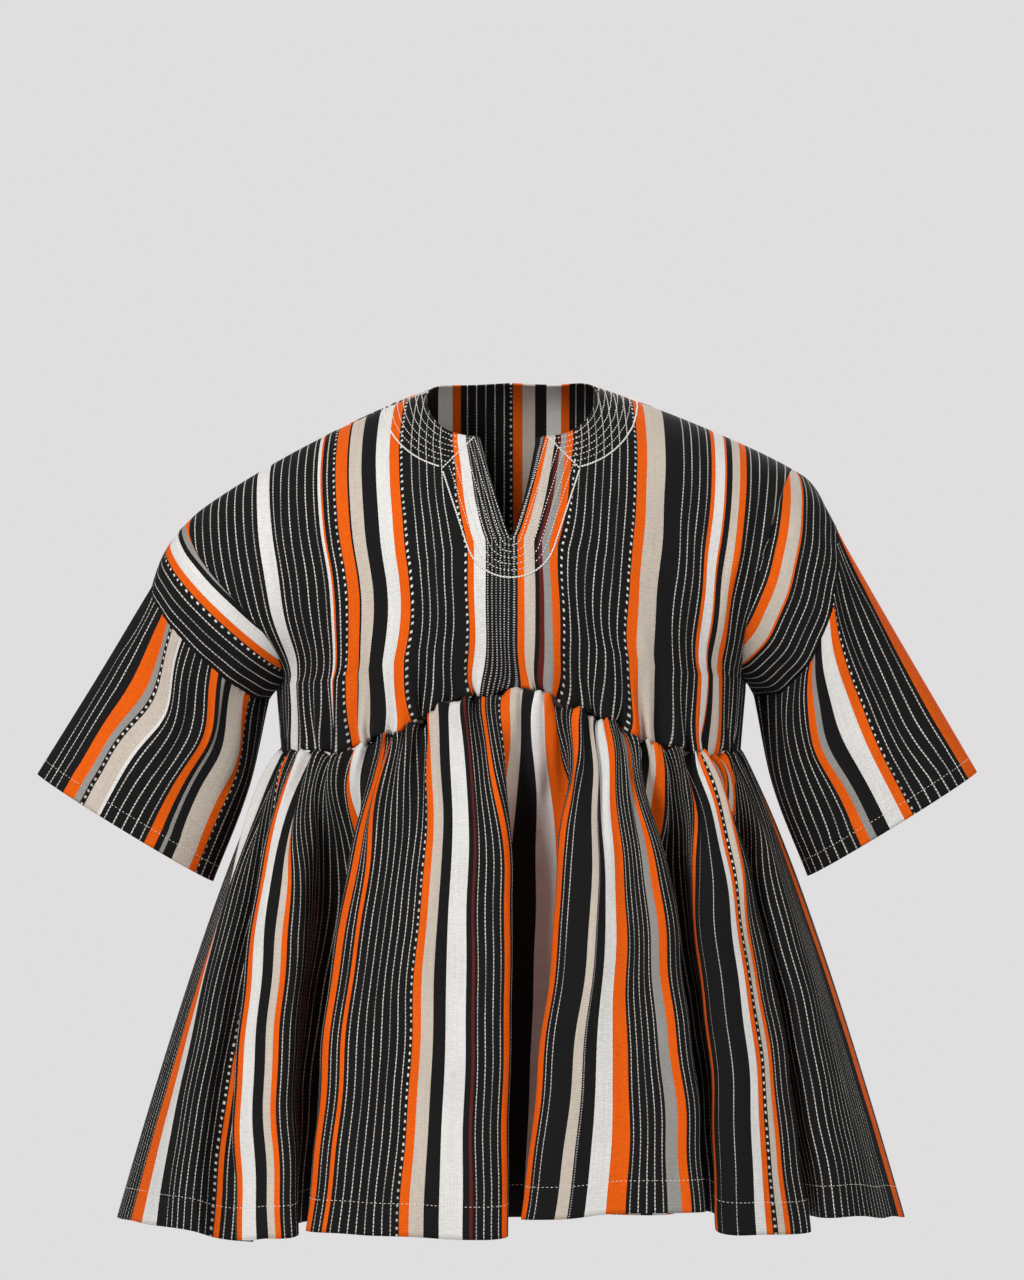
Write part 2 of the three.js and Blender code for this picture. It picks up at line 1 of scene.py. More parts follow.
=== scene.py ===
# Fugu smock: a loose pullover sewn from narrow hand-woven cotton strips, open at the neck, sleeves and hem.
# Sizes in the tables are millimetres, and every mesh is scaled to metres when it is made.
# The wearer faces -Y, so +X is the wearer's left. The origin is the middle of the neck hole at the shoulders.
import math
from itertools import cycle

import bmesh
import bpy
import numpy as np
from mathutils import Matrix, Vector
from mathutils.bvhtree import BVHTree


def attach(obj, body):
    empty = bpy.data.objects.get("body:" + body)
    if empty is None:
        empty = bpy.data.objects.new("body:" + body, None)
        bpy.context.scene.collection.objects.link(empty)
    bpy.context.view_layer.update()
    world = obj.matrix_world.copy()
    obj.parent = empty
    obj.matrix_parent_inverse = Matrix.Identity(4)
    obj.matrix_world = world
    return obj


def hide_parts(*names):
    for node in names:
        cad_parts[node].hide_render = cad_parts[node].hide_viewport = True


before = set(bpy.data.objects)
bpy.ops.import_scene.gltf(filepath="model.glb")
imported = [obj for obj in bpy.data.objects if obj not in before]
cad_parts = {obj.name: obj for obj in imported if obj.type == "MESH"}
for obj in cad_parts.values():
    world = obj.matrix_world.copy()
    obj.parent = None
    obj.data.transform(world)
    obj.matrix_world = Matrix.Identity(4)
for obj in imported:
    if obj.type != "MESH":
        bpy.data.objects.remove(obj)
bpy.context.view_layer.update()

# ---- Yoke ----
# The chest and back of the smock: strips of cloth sewn side by side, with their stripes running down.
# Cotton, woven by hand on a narrow loom. The front is slit for the head, and both faces are eased into the
# gathered waist seam below.

# Rings round each arm, both as they lie on the wearer's left: under x y z, upper x y z, front, back, bow, sway.
ARM_RINGS = {
    "left": {
        "armhole": (218, 0, -270, 262, 5, -74, 88, 78, -14, 2),
        "band_seam": (226, 6, -284, 292, 8, -113, 76, 74, 36, -4),
        "elbow": (243, 8, -366, 370, 9, -246, 66, 66, 4, 0),
        "cuff": (276, 8, -452, 434, 10, -355, 55, 55, 0, 0),
    },
    "right": {
        "armhole": (217, 0, -277, 290, 5, -114, 85, 76, 0, 15),
        "band_seam": (225, 6, -288, 334, 8, -182, 70, 70, 14, 0),
        "elbow": (243, 8, -368, 382, 9, -262, 64, 64, 2, 0),
        "cuff": (277, 8, -457, 441, 10, -357, 55, 55, 0, 0),
    },
}
SIDE_SEAM_FOOT = (212, 0, -336)
ARMPIT_AT = 0.1567  # how far up the yoke the armholes begin, as a share

# Sections of the yoke from the front waist seam (0) over the shoulders (1) to the back waist seam (2):
# place, middle y, middle z, how square the middle is, how round the side is, how the height falls.
YOKE_SECTIONS = [
    (0.00, -150, -277, 2.3, 2.10, 0.0),
    (0.15, -161, -226, 2.2, 1.80, 0.2),
    (0.30, -161, -170, 2.1, 1.50, 0.5),
    (0.46, -143, -112, 2.0, 1.30, 0.8),
    (0.66, -100, -48, 1.8, 1.15, 1.0),
    (0.86, -40, 7, 1.5, 1.15, 1.0),
    (1.00, 5, 24, 1.2, 1.10, 1.0),
    (1.14, 48, 17, 1.5, 1.15, 1.0),
    (1.30, 92, -14, 1.8, 1.15, 1.0),
    (1.50, 124, -92, 2.0, 1.30, 0.8),
    (1.70, 134, -178, 2.1, 1.50, 0.5),
    (1.86, 130, -252, 2.2, 1.80, 0.2),
    (2.00, 120, -316, 2.3, 2.10, 0.0),
]
GATHERS = 26  # on each face of the waist seam
SECTION_POINTS = 291  # on half a section of the yoke or the skirt
ACROSS = np.sin(np.linspace(0, np.pi / 2, 161))  # shares of a half section's width, closer at the side


def mix(a, b, share):
    return a + (b - a) * share


def smooth(x):
    w = np.clip(x, 0, 1)
    return w * w * (3 - 2 * w)


def bell(x, width):
    return np.exp(-((x / width) ** 2))


def unit(vectors):
    return vectors / np.linalg.norm(vectors, axis=-1, keepdims=True)


def through(rows, at):
    """A smooth curve through a table's rows, each of which starts with its place."""
    rows = np.array(rows, float)
    place, value = rows[:, 0], rows[:, 1:]
    slope = np.empty_like(value)
    slope[1:-1] = (value[2:] - value[:-2]) / (place[2:] - place[:-2])[:, None]
    slope[0] = (value[1] - value[0]) / (place[1] - place[0])
    slope[-1] = (value[-1] - value[-2]) / (place[-1] - place[-2])
    k = np.clip(np.searchsorted(place, at, side="right") - 1, 0, len(place) - 2)
    step = (place[k + 1] - place[k])[:, None]
    w = ((at - place[k]) / step[:, 0])[:, None]
    start = (2 * w**3 - 3 * w**2 + 1) * value[k] + (w**3 - 2 * w**2 + w) * step * slope[k]
    end = (3 * w**2 - 2 * w**3) * value[k + 1] + (w**3 - w**2) * step * slope[k + 1]
    return start + end


def lengths_along(points):
    """How far each point lies from the first one of its path. The paths run down the array's first axis."""
    steps = np.linalg.norm(np.diff(points, axis=0), axis=-1)
    return np.concatenate([np.zeros_like(steps[:1]), np.cumsum(steps, axis=0)])


def read_path(path, run, at):
    """Places on a path whose points lie as far along as run says."""
    return np.stack([np.interp(at, run, path[:, i]) for i in range(3)], axis=-1)


def evenly(points):
    """The same curve with its points at equal distances, and its length."""
    run = lengths_along(points)
    return read_path(points, run, np.linspace(0, run[-1], SECTION_POINTS)), run[-1]


def ring_points(rings, turn):
    """Points round the arm: turn 0 is under it, 0.25 in front, 0.5 on top and 0.75 behind."""
    rings = np.asarray(rings, float)
    under, upper = rings[..., 0:3], rings[..., 3:6]
    front, back, bow, sway = (rings[..., i] for i in range(6, 10))
    fold = 2 * np.pi * np.minimum(turn, 1 - turn)
    points = under + (upper - under) * ((1 - np.cos(fold)) / 2)[..., None]
    points[..., 1] += np.where(turn < 0.5, -front, back) * np.sin(fold)
    rise = upper - under
    down = unit(np.stack([rise[..., 2], 0 * turn, -rise[..., 0]], axis=-1))
    return points + down * (bow * np.sin(fold) - sway * np.sin(2 * fold))[..., None]


def oval(flat, turn):
    """Half an oval at each place of ACROSS, from 1 in the middle to 0 at the side."""
    return np.clip(1 - ACROSS**flat, 0, 1) ** (1 / turn)


YOKE_PLACES = np.linspace(0, 2, 801)


def half_yoke(arm):
    """The yoke from its middle out to one arm: a grid of points and the length of each of its sections."""
    rise = np.minimum(YOKE_PLACES, 2 - YOKE_PLACES)
    half = np.clip((rise - ARMPIT_AT) / (1 - ARMPIT_AT), 0, 1) / 2
    armhole = np.array([ARM_RINGS[arm]["armhole"]] * len(rise), float)
    side = ring_points(armhole, np.where(YOKE_PLACES <= 1, half, 1 - half))
    seam = mix(np.array(SIDE_SEAM_FOOT), side[np.argmax(rise >= ARMPIT_AT)], (rise / ARMPIT_AT)[:, None])
    side = np.where((rise < ARMPIT_AT)[:, None], seam, side)
    sections = through(YOKE_SECTIONS, YOKE_PLACES)
    rows, lengths = [], []
    for (side_x, side_y, side_z), (centre_y, centre_z, flat, turn, arch) in zip(side, sections):
        deep = oval(flat, turn)
        high = mix(1 - smooth(ACROSS * 1.2), deep, arch)
        row = np.stack([side_x * ACROSS, mix(side_y, centre_y, deep), mix(side_z, centre_z, high)], axis=1)
        row, length = evenly(row)
        rows.append(row)
        lengths.append(length)
    return np.array(rows), np.array(lengths)


HALF_YOKES = {arm: half_yoke(arm) for arm in ARM_RINGS}


def read_grid(grid, s, place):
    """The grid's point at a share of the section and a place along the yoke, between its own points."""
    i = np.clip(s, 0, 1) * (grid.shape[1] - 1)
    j = np.clip(place, 0, 2) / 2 * (grid.shape[0] - 1)
    i0 = np.minimum(i.astype(int), grid.shape[1] - 2)
    j0 = np.minimum(j.astype(int), grid.shape[0] - 2)
    wi, wj = (i - i0)[..., None], (j - j0)[..., None]
    low = mix(grid[j0, i0], grid[j0, i0 + 1], wi)
    high = mix(grid[j0 + 1, i0], grid[j0 + 1, i0 + 1], wi)
    return mix(low, high, wj)


def on_yoke(s, place):
    """The yoke before its gathers: s runs from -1 at the right arm over 0 in the middle to 1 at the left arm."""
    s, place = np.broadcast_arrays(s, place)
    right = read_grid(HALF_YOKES["right"][0], -s, place) * (-1, 1, 1)
    return np.where((s < 0)[..., None], right, read_grid(HALF_YOKES["left"][0], s, place))


def level_out(face, ahead):
    """The level direction out of a face, square to the one that runs ahead across it."""
    return unit(np.stack([-face * ahead[..., 1], face * ahead[..., 0], 0 * ahead[..., 0]], axis=-1))


def gathers(face, s, away, depth, seam_depth, reach):
    """The height of the uneven gathers beside the waist seam: 0 on a crest. They die away from the seam."""
    seed = 1 if face < 0 else 4
    lag = 0.035 * np.sin(3 * np.pi * (s + 1) + seed) - 0.035 * math.sin(seed)
    wave = np.cos(np.pi * GATHERS * (s + 1 + lag * (1 - s * s)))
    wave = (0.75 + 0.25 * np.sin(5 * np.pi * s + seed)) * (wave - 1) / 2
    return mix(depth, seam_depth, np.exp(-away / 0.03)) * np.exp(-away / reach) * wave


# The neck hole seen from above is an oval: half width, half depth, y of its middle, how square it is.
NECK = {"wide": 79, "deep": 81, "y": -17, "front": 3, "back": 2.4}


def in_neck_hole(points):
    square = np.where(points[..., 1] < NECK["y"], NECK["front"], NECK["back"])
    aside, ahead = points[..., 0] / NECK["wide"], (points[..., 1] - NECK["y"]) / NECK["deep"]
    return np.abs(aside) ** square + np.abs(ahead) ** square < 1


def climb(reached, count):
    """For each of count lines, how far up it first reaches something: 1 if it never does."""
    low, high = np.zeros(count), np.ones(count)
    for _ in range(30):
        middle = (low + high) / 2
        there = reached(middle)
        low, high = np.where(there, low, middle), np.where(there, middle, high)
    return high


# The neck's slit: its foot as a share of the front's height, half its opening, how the opening narrows to the
# foot, and how far aside it spreads the cloth.
SLIT = {"share": 0.452, "half_opening": 28, "rounding": 0.75, "reach": 55}


def bend_down(share, top):
    """Rows of a face, as shares of its height, bend down towards the neck hole."""
    return share - (1 - top) * share**2


NECK_FRONT_AT = climb(lambda place: in_neck_hole(on_yoke(np.zeros(1), place)), 1)[0]
SLIT_FOOT_AT = bend_down(SLIT["share"], NECK_FRONT_AT)


def section_length(side, place):
    """How long half a section is, on the wearer's right (side < 0) or left."""
    right, left = (np.interp(place, YOKE_PLACES, HALF_YOKES[arm][1]) for arm in ("right", "left"))
    return np.where(side < 0, right, left)


def slit_shift(across, side, place):
    """How far the slit has spread the cloth beside it, as a share of the section."""
    above = np.clip((place - SLIT_FOOT_AT) / (NECK_FRONT_AT - SLIT_FOOT_AT), 0, 1)
    shut = 1 - smooth((place - NECK_FRONT_AT) / (1 - NECK_FRONT_AT))
    spread = SLIT["half_opening"] * above ** SLIT["rounding"] * shut
    return side * spread * np.exp(-np.abs(across) / SLIT["reach"]) / section_length(across, place)


def yoke_points(face, across, rise, side):
    """The outside of the yoke: face -1 is the front and 1 the back, rise runs from 0 at the waist seam to 1.
    Stripes keep their distance across from the middle, and the armholes and side seams cut them off."""
    place = rise if face < 0 else 2 - rise
    s = np.clip(across / section_length(across, place), -1, 1)
    shifted = s + slit_shift(across, side, place) if face < 0 else s
    ahead = on_yoke(shifted + 0.01, place) - on_yoke(shifted - 0.01, place)
    wave = gathers(face, s, rise, depth=2.6, seam_depth=3.2, reach=0.16)
    return on_yoke(shifted, place) + level_out(face, ahead) * wave[..., None]


BLACK = (0.0085, 0.0079, 0.0080)
# The yarns. Each stripe is one yarn's colour, and three of them have thread lines woven or stitched in: thread
# colour, half width of a line as a share of their spacing, stitch length in mm, share of a stitch that shows.
COTTON = {
    "pins": (BLACK, (0.72, 0.68, 0.62), 0.058, 3.6, 0.78),
    "dots": (BLACK, (0.78, 0.74, 0.67), 0.235, 6.8, 0.33),
    "speckle": (BLACK, (0.50, 0.48, 0.46), 0.150, 2.3, 0.50),
    "black": (BLACK,),
    "orange": ((0.72, 0.100, 0.003),),
    "cream": ((0.53, 0.46, 0.39),),
    "white": ((0.68, 0.665, 0.64),),
    "grey": ((0.27, 0.255, 0.24),),
    "red": ((0.10, 0.014, 0.011),),
}


def wire(tree, kind, inputs, **settings):
    """A node with its settings and its inputs, each a value or another node's output."""
    node = tree.nodes.new(kind)
    for name, value in settings.items():
        setattr(node, name, value)
    for socket, value in inputs.items():
        if isinstance(value, bpy.types.NodeSocket):
            tree.links.new(value, node.inputs[socket])
        else:
            node.inputs[socket].default_value = value
    return node


def new_material(name):
    material = bpy.data.materials.new(name)
    material.use_nodes = True
    return material, material.node_tree, material.node_tree.nodes["Principled BSDF"]


RIB_PITCH, WARP_PITCH = 0.0017, 0.0009  # metres


def weave_material(yarn):
    """Hand-woven cotton: ribs of weft over the warp, thread lines if the yarn has them, and a dry matt nap."""
    ground, *threads = COTTON[yarn]
    material, tree, shader = new_material(f"{yarn}_cotton")

    def reckon(operation, *values):
        return wire(tree, "ShaderNodeMath", dict(enumerate(values)), operation=operation).outputs[0]

    def times(a, b):
        return reckon("MULTIPLY", a, b)

    def plus(a, b):
        return reckon("ADD", a, b)

    def noise(place, detail, scale=1.0):
        return wire(tree, "ShaderNodeTexNoise", {"Vector": place, "Scale": scale, "Detail": detail}).outputs[0]

    def spread(x, y):
        return wire(tree, "ShaderNodeCombineXYZ", {0: x, 1: y}).outputs[0]

    def off_middle(count):
        """How far a count lies from the middle of its repeat."""
        return reckon("ABSOLUTE", reckon("SUBTRACT", reckon("FRACT", count), 0.5))

    def ramp(value, start, end, low=0.0):
        """From low at the start to 1 at the end."""
        return wire(tree, "ShaderNodeMapRange", {0: value, 1: start, 2: end, 3: low, 4: 1.0}).outputs[0]

    cut = wire(tree, "ShaderNodeUVMap", {}, uv_map="cut").outputs[0]
    cut_place = wire(tree, "ShaderNodeSeparateXYZ", {0: cut})
    across, along = cut_place.outputs[0], cut_place.outputs[1]

    # Warp threads differ a little in tone along their whole length, and the weft shows in short slubs.
    streak = noise(spread(times(across, 900.0), times(along, 14.0)), 2.0)
    slub = noise(spread(times(across, 130.0), times(along, 620.0)), 2.0)
    wear = noise(cut, 3.0, scale=17.0)
    tone = plus(plus(plus(times(streak, 0.34), times(slub, 0.36)), times(wear, 0.24)), 0.55)
    colour = wire(tree, "ShaderNodeVectorMath", {0: ground, "Scale": tone}, operation="SCALE").outputs[0]

    # Weft ribs across the stripe, and the finer warp between them.
    rib = reckon("SINE", times(along, 2 * math.pi / RIB_PITCH))
    warp = reckon("SINE", times(across, 2 * math.pi / WARP_PITCH))
    height = plus(times(plus(rib, times(slub, 1.6)), 0.5), times(warp, 0.25))

    if threads:
        thread, half_width, stitch, shown = threads
        lines = wire(tree, "ShaderNodeUVMap", {}, uv_map="threads")
        count = wire(tree, "ShaderNodeSeparateXYZ", {0: lines.outputs[0]}).outputs[0]
        wander = noise(cut, 1.0, scale=60.0)
        aside = off_middle(plus(count, times(reckon("SUBTRACT", wander, 0.5), half_width)))
        beside = ramp(aside, half_width * 1.25, half_width * 0.75)
        # Each line has stitches of its own, so they don't stand in rows.
        line = reckon("FLOOR", count)
        within = off_middle(plus(times(along, 1000.0 / stitch), plus(times(line, 0.37), times(wander, 0.8))))
        shows = ramp(within, shown / 2 + 0.05, shown / 2 - 0.05)
        # Here and there a thread sinks into the weave, some lines more than others.
        clear = ramp(noise(spread(times(line, 3.7), times(along, 11.0)), 1.0), 0.33, 0.55, low=0.4)
        on_thread = times(times(beside, shows), clear)
        colour = wire(tree, "ShaderNodeMix", {0: on_thread, 6: colour, 7: (*thread, 1)}, data_type="RGBA").outputs[2]
        height = plus(height, times(on_thread, 1.6))

    tree.links.new(colour, shader.inputs["Base Color"])
    bump = wire(tree, "ShaderNodeBump", {"Height": height, "Strength": 0.55, "Distance": 0.00035})
    tree.links.new(bump.outputs[0], shader.inputs["Normal"])
    shader.inputs["Roughness"].default_value = 0.88
    shader.inputs["Specular IOR Level"].default_value = 0.12
    shader.inputs["Sheen Weight"].default_value = 0.015
    shader.inputs["Sheen Roughness"].default_value = 0.4
    return material


YARNS = list(COTTON)
WEAVES = [weave_material(yarn) for yarn in YARNS]

# The loom's standard stripes, one strip wide: width, yarn, and thread lines if it has them.
STRIP = [
    (44, "pins", 5), (4, "dots", 1), (9, "orange"), (12, "cream"), (11, "black"), (14, "white"), (8, "orange"),
    (2, "black"),
]  # fmt: skip


def strips(start, end, offset=0):
    """Stripes from one place to another, strip after strip: where each ends, its yarn, its thread lines."""
    chart, place = [], start - offset
    for width, *weave in cycle(STRIP):
        place += width
        if place > start:
            chart.append((min(place, end), *weave))
        if place >= end:
            return chart


def lay_stripes(chart, start, step=4.5):
    """Columns of the cloth, with one on each edge between stripes: places, yarns and thread lines of each."""
    places, yarns, lines = [start], [], []
    for end, yarn, *threads in chart:
        parts = math.ceil((end - places[-1]) / step - 1e-6)
        places.extend(np.linspace(places[-1], end, parts + 1)[1:])
        yarns.extend([YARNS.index(yarn)] * parts)
        count = sum(threads)
        lines.extend((count * k / parts, count * (k + 1) / parts) for k in range(parts))
    return np.array(places), np.array(yarns), np.array(lines)


def raised(points, height):
    """The sheet moved out of itself by a height at each point."""
    out = np.cross(np.gradient(points, axis=1), np.gradient(points, axis=0))
    out /= np.maximum(np.linalg.norm(out, axis=2, keepdims=True), 1e-9)
    return points + out * height[..., None]


def creases(table, across, along):
    """Soft ridges and troughs: from across, along to across, along, half width, height. They fade at both ends."""
    height = np.zeros(np.broadcast(across, along).shape)
    for u0, v0, u1, v1, width, rise in table:
        length = math.hypot(u1 - u0, v1 - v0)
        share = ((across - u0) * (u1 - u0) + (along - v0) * (v1 - v0)) / length**2
        aside = ((across - u0) * (v1 - v0) - (along - v0) * (u1 - u0)) / length
        height += rise * bell(aside, width) * smooth(1.15 - np.abs(2 * share - 1) * 1.15)
    return height


def turned_over(points, stripes, along):
    """A sheet's points, stripes and lengths with its columns in the other order."""
    places, yarns, lines = stripes
    return points[:, ::-1], (places[::-1], yarns[::-1], lines[::-1, ::-1]), along[:, ::-1]


CLOTH_THICKNESS = 1.2


def make_cloth(name, node, points, stripes, along, slit=None):
    """A piece of striped cloth: rows and columns of points on its outside, its columns running to the right."""
    places, yarns, lines = stripes
    rows, columns = points.shape[:2]
    grid = bmesh.new()
    bmesh.ops.create_grid(grid, x_segments=columns - 1, y_segments=rows - 1, size=0.5)
    mesh = bpy.data.meshes.new(name)
    grid.to_mesh(mesh)
    grid.free()
    mesh.vertices.foreach_set("co", (points / 1000).ravel())

    corner = np.empty(len(mesh.loops), int)
    mesh.loops.foreach_get("vertex_index", corner)
    row, column = np.divmod(corner.reshape(-1, 4), columns)
    strip = column.min(axis=1)
    lengthwise = along[row, column]
    cut = np.stack([places[column], lengthwise], axis=-1) / 1000
    thread = np.stack([lines[strip[:, None], column - strip[:, None]], lengthwise / 1000], axis=-1)
    mesh.uv_layers.new(name="cut").data.foreach_set("uv", cut.ravel())
    mesh.uv_layers.new(name="threads").data.foreach_set("uv", thread.ravel())
    for weave in WEAVES:
        mesh.materials.append(weave)
    mesh.polygons.foreach_set("material_index", yarns[strip])

    sewn = bmesh.new()
    sewn.from_mesh(mesh)
    if slit is not None:
        gap = [face for face, place in zip(sewn.faces, strip) if place == slit]
        bmesh.ops.delete(sewn, geom=gap, context="FACES")
    bmesh.ops.remove_doubles(sewn, verts=sewn.verts, dist=1e-5)
    sewn.to_mesh(mesh)
    sewn.free()
    mesh.shade_smooth()

    piece = bpy.data.objects.new(name, mesh)
    bpy.context.scene.collection.objects.link(piece)
    wall = piece.modifiers.new("thickness", "SOLIDIFY")
    wall.thickness = CLOTH_THICKNESS / 1000
    wall.offset = -1
    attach(piece, "root")
    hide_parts(node)
    return piece


# Stripes of the front, by distance from the middle, from the wearer's right side to the left one: where each
# ends, yarn, thread lines. No two strips of the front match.
FRONT_STRIPES = [
    (-252, "pins", 9), (-238, "white"), (-185, "pins", 6), (-182, "white"), (-180, "orange"), (-170, "pins", 1),
    (-166, "dots", 1), (-154, "orange"), (-152, "black"), (-139, "cream"), (-124, "black"), (-110, "white"),
    (-100, "orange"), (-95, "dots", 1), (-91, "black"), (-51, "pins", 5), (-44, "black"), (-40, "dots", 1),
    (-34, "orange"), (-23, "white"), (0, "speckle", 6), (6, "speckle", 1), (12, "orange"), (22, "cream"),
    (26, "black"), (30, "red"), (37, "grey"), (45, "orange"), (47, "black"), (51, "dots", 1), (109, "pins", 7),
    (111, "black"), (115, "dots", 1), (125, "orange"), (144, "cream"), (159, "black"), (192, "pins", 4),
    (196, "orange"), (206, "white"), (208, "orange"), (214, "black"), (222, "cream"), (229, "orange"),
    (305, "pins", 8),
]  # fmt: skip
YOKE_SIDES = (-338, 305)
YOKE_DROP = {-1: 345, 1: 375}
BACK_STRIPES = strips(*YOKE_SIDES, 20)

# Where the gathering thread is drawn tightest along the waist seam: distance from the middle, share of the cloth.
PINCHES = {
    -1: [
        (-212, 0.5), (-188, 0.75), (-161, 0.5), (-140, 0.45), (-118, 0.75), (-84, 0.7), (-58, 0.4), (-33, 0.7),
        (-8, 0.35), (18, 0.45), (45, 0.75), (76, 0.5), (106, 0.7), (127, 0.65), (152, 0.45), (180, 0.75),
        (206, 0.5),
    ],
    1: [
        (-208, 0.5), (-180, 0.7), (-152, 0.5), (-121, 0.7), (-94, 0.45), (-62, 0.7), (-36, 0.5), (-10, 0.7),
        (22, 0.5), (54, 0.7), (83, 0.45), (110, 0.7), (141, 0.5), (170, 0.7), (203, 0.55),
    ],
}  # fmt: skip


# In the next formulas, what divides a distance is a reach or a wavelength, and the factors in front are in mm.
def drawn_in(face, across, away):
    """How far sideways the cloth lies, away from the waist seam by so much: the gathering thread draws it in."""
    free = 1 - bell(across, 30)
    shift = free * (1.6 * np.sin(away / 31 + across / 47) + 0.9 * np.sin(away / 14 + across / 19))
    shift = shift + 4.2 * np.sin(across / 9.1 + away / 12) * np.exp(-away / 18)
    for place, share in PINCHES[face]:
        off = across - place
        shift = shift - share * off * np.exp(-((off / 12) ** 2) - away / 34)
    return shift


def gathered(face, across, away):
    """The cloth's height beside the waist seam: a trough runs out from each pinch between two ridges, with
    small puckers between them."""
    height = -0.9 * bell(away, 2.5)
    height = height + 1.7 * np.sin(across / 1.75 + 2.2 * np.sin(across / 19 + face)) * np.exp(-away / 15)
    for place, share in PINCHES[face]:
        off = np.abs(across - place)
        trough = bell(off, 4.5 + away / 9)
        ridge = bell(off - 9.5 - away / 7, 5.5)
        height = height + share * (4.6 * ridge - 8.5 * trough) * np.exp(-away / 42)
    return height


def waver(across, away):
    """How far the waist seam wanders up and down."""
    return (2.3 * np.sin(across / 12.5) + 1.7 * np.sin(across / 5.3 + 1)) * np.exp(-away / 20)


def ease_seam(across, along, pitch, reach, depth, seed):
    """Small uneven puckers where the cloth is eased into a seam, dying away from it."""
    lag = 0.9 * np.sin(across / 37 + seed) + 0.6 * np.sin(across / 13.7 + 2 * seed)
    size = 0.6 + 0.4 * np.sin(across / 23 + 3 * seed)
    fade = np.exp(-along / (reach * (0.65 + 0.35 * np.sin(across / 17 + seed))))
    return depth * size * fade * np.sin(2 * np.pi * across / pitch + lag)


# Creases of the yoke: drags up from the gathers, and folds of the loose cloth beside each armhole.
YOKE_CREASES = {
    -1: [
        (-232, 120, -250, 300, 11, -4.8), (-212, 90, -226, 250, 9, 3.9), (236, 110, 256, 290, 11, -4.5),
        (214, 80, 232, 230, 9, 3.6), (-150, -60, -158, 120, 7, -3.6), (-118, -40, -116, 75, 6, 3),
        (-84, -60, -80, 105, 7, -3.3), (-44, -40, -40, 60, 5, -2.7), (-12, -50, -8, 85, 6, 2.7),
        (26, -50, 28, 70, 5, -3), (66, -60, 62, 120, 7, -3.3), (100, -40, 104, 80, 6, 3),
        (142, -60, 148, 130, 7, -3.9), (178, -40, 184, 90, 7, 3), (-190, -40, -196, 90, 7, -3.3),
    ],
    1: [
        (-190, -50, -196, 130, 8, -2.4), (-136, -40, -140, 90, 7, 2.2), (-92, -60, -88, 120, 7, -2.2),
        (-40, -50, -42, 80, 6, -2.0), (6, -60, 2, 130, 8, 2.2), (58, -50, 60, 90, 6, -2.0),
        (104, -60, 100, 120, 7, -2.4), (150, -40, 156, 100, 7, 2.2), (204, -50, 210, 120, 8, -2.4),
        (-236, 130, -252, 300, 11, -4.0), (238, 130, 254, 300, 11, -4.0),
    ],
}  # fmt: skip
# How each face is eased into the waist seam.
YOKE_EASE = {
    -1: {"pitch": 9.5, "reach": 24, "depth": 1.6, "seed": 1},
    1: {"pitch": 10.5, "reach": 22, "depth": 1.6, "seed": 4},
}
SLIT_ROW = 45  # of the rows up the front, the one at the slit's foot
# The gathering thread's sideways pull ends this far up the yoke, and weakens over this much below that.
PULL_END, PULL_FADE = 230, 80


def yoke_sheet(face, stripes):
    """One face of the yoke: rows and columns of points, its stripes, and how far up the cloth each point lies."""
    across = stripes[0]
    side = np.where(across < 0, -1, 1)
    top = climb(lambda rise: in_neck_hole(yoke_points(face, across, rise, side)), len(across))
    if face < 0:
        # The first of the two columns down the middle lies on the right of the slit.
        side[np.argmax(across >= 0)] = -1
    shares = np.concatenate([np.linspace(0, SLIT["share"], SLIT_ROW + 1), np.linspace(SLIT["share"], 1, 50)[1:]])
    rise = bend_down(shares[:, None], top)
    if face < 0:
        rise[SLIT_ROW, across == 0] = SLIT_FOOT_AT
    across = across[None, :]
    up = rise * YOKE_DROP[face]
    drawn = across + drawn_in(face, across, up) * smooth((PULL_END - up) / PULL_FADE)
    points = yoke_points(face, drawn, rise, side[None, :])
    along = lengths_along(points)
    height = creases(YOKE_CREASES[face], across, along) + ease_seam(across, along, **YOKE_EASE[face])
    height += gathered(face, across, along)
    points[..., 2] += waver(across, along)
    return raised(points, -face * height), stripes, along


# The front has a second column of points down its middle. The cloth between the two is cut out for the slit.
stripes = lay_stripes(FRONT_STRIPES, YOKE_SIDES[0], step=3.2)
middle = int(np.argmax(stripes[0] >= 0))
stripes = tuple(np.insert(part, middle, 0, axis=0) for part in stripes)
front = make_cloth("front", "yoke_front", *yoke_sheet(-1, stripes), slit=middle)

# Seen from outside, the back's columns run from the wearer's left to the right, so it is made with them reversed.
stripes = lay_stripes(BACK_STRIPES, YOKE_SIDES[0], step=3.2)
back = make_cloth("back", "yoke_back", *turned_over(*yoke_sheet(1, stripes)))

# ---- Neck facing ----
# The facing inside the neck shows only by its rows of white cotton stitches, round the neck and down the slit,
# with a thicker border 40 mm from the edge and a mitre from each corner of the slit.

thread, tree, shader = new_material("white_thread")
shader.inputs["Base Color"].default_value = (0.78, 0.76, 0.71, 1)
shader.inputs["Roughness"].default_value = 0.75
shader.inputs["Sheen Weight"].default_value = 0.1
where = wire(tree, "ShaderNodeTexCoord", {})
fibre = wire(tree, "ShaderNodeTexNoise", {"Vector": where.outputs["Object"], "Scale": 1400.0, "Detail": 2.0})
bump = wire(tree, "ShaderNodeBump", {"Height": fibre.outputs["Fac"], "Strength": 0.4, "Distance": 0.0004})
tree.links.new(bump.outputs["Normal"], shader.inputs["Normal"])


def outside_of(*pieces):
    """A tree of the pieces' outsides, which finds the cloth and the direction out of it."""
    corners, faces = [], []
    for piece in pieces:
        start = len(corners)
        corners += [vertex.co for vertex in piece.data.vertices]
        faces += [[start + corner for corner in face.vertices] for face in piece.data.polygons]
    return BVHTree.FromPolygons(corners, faces)


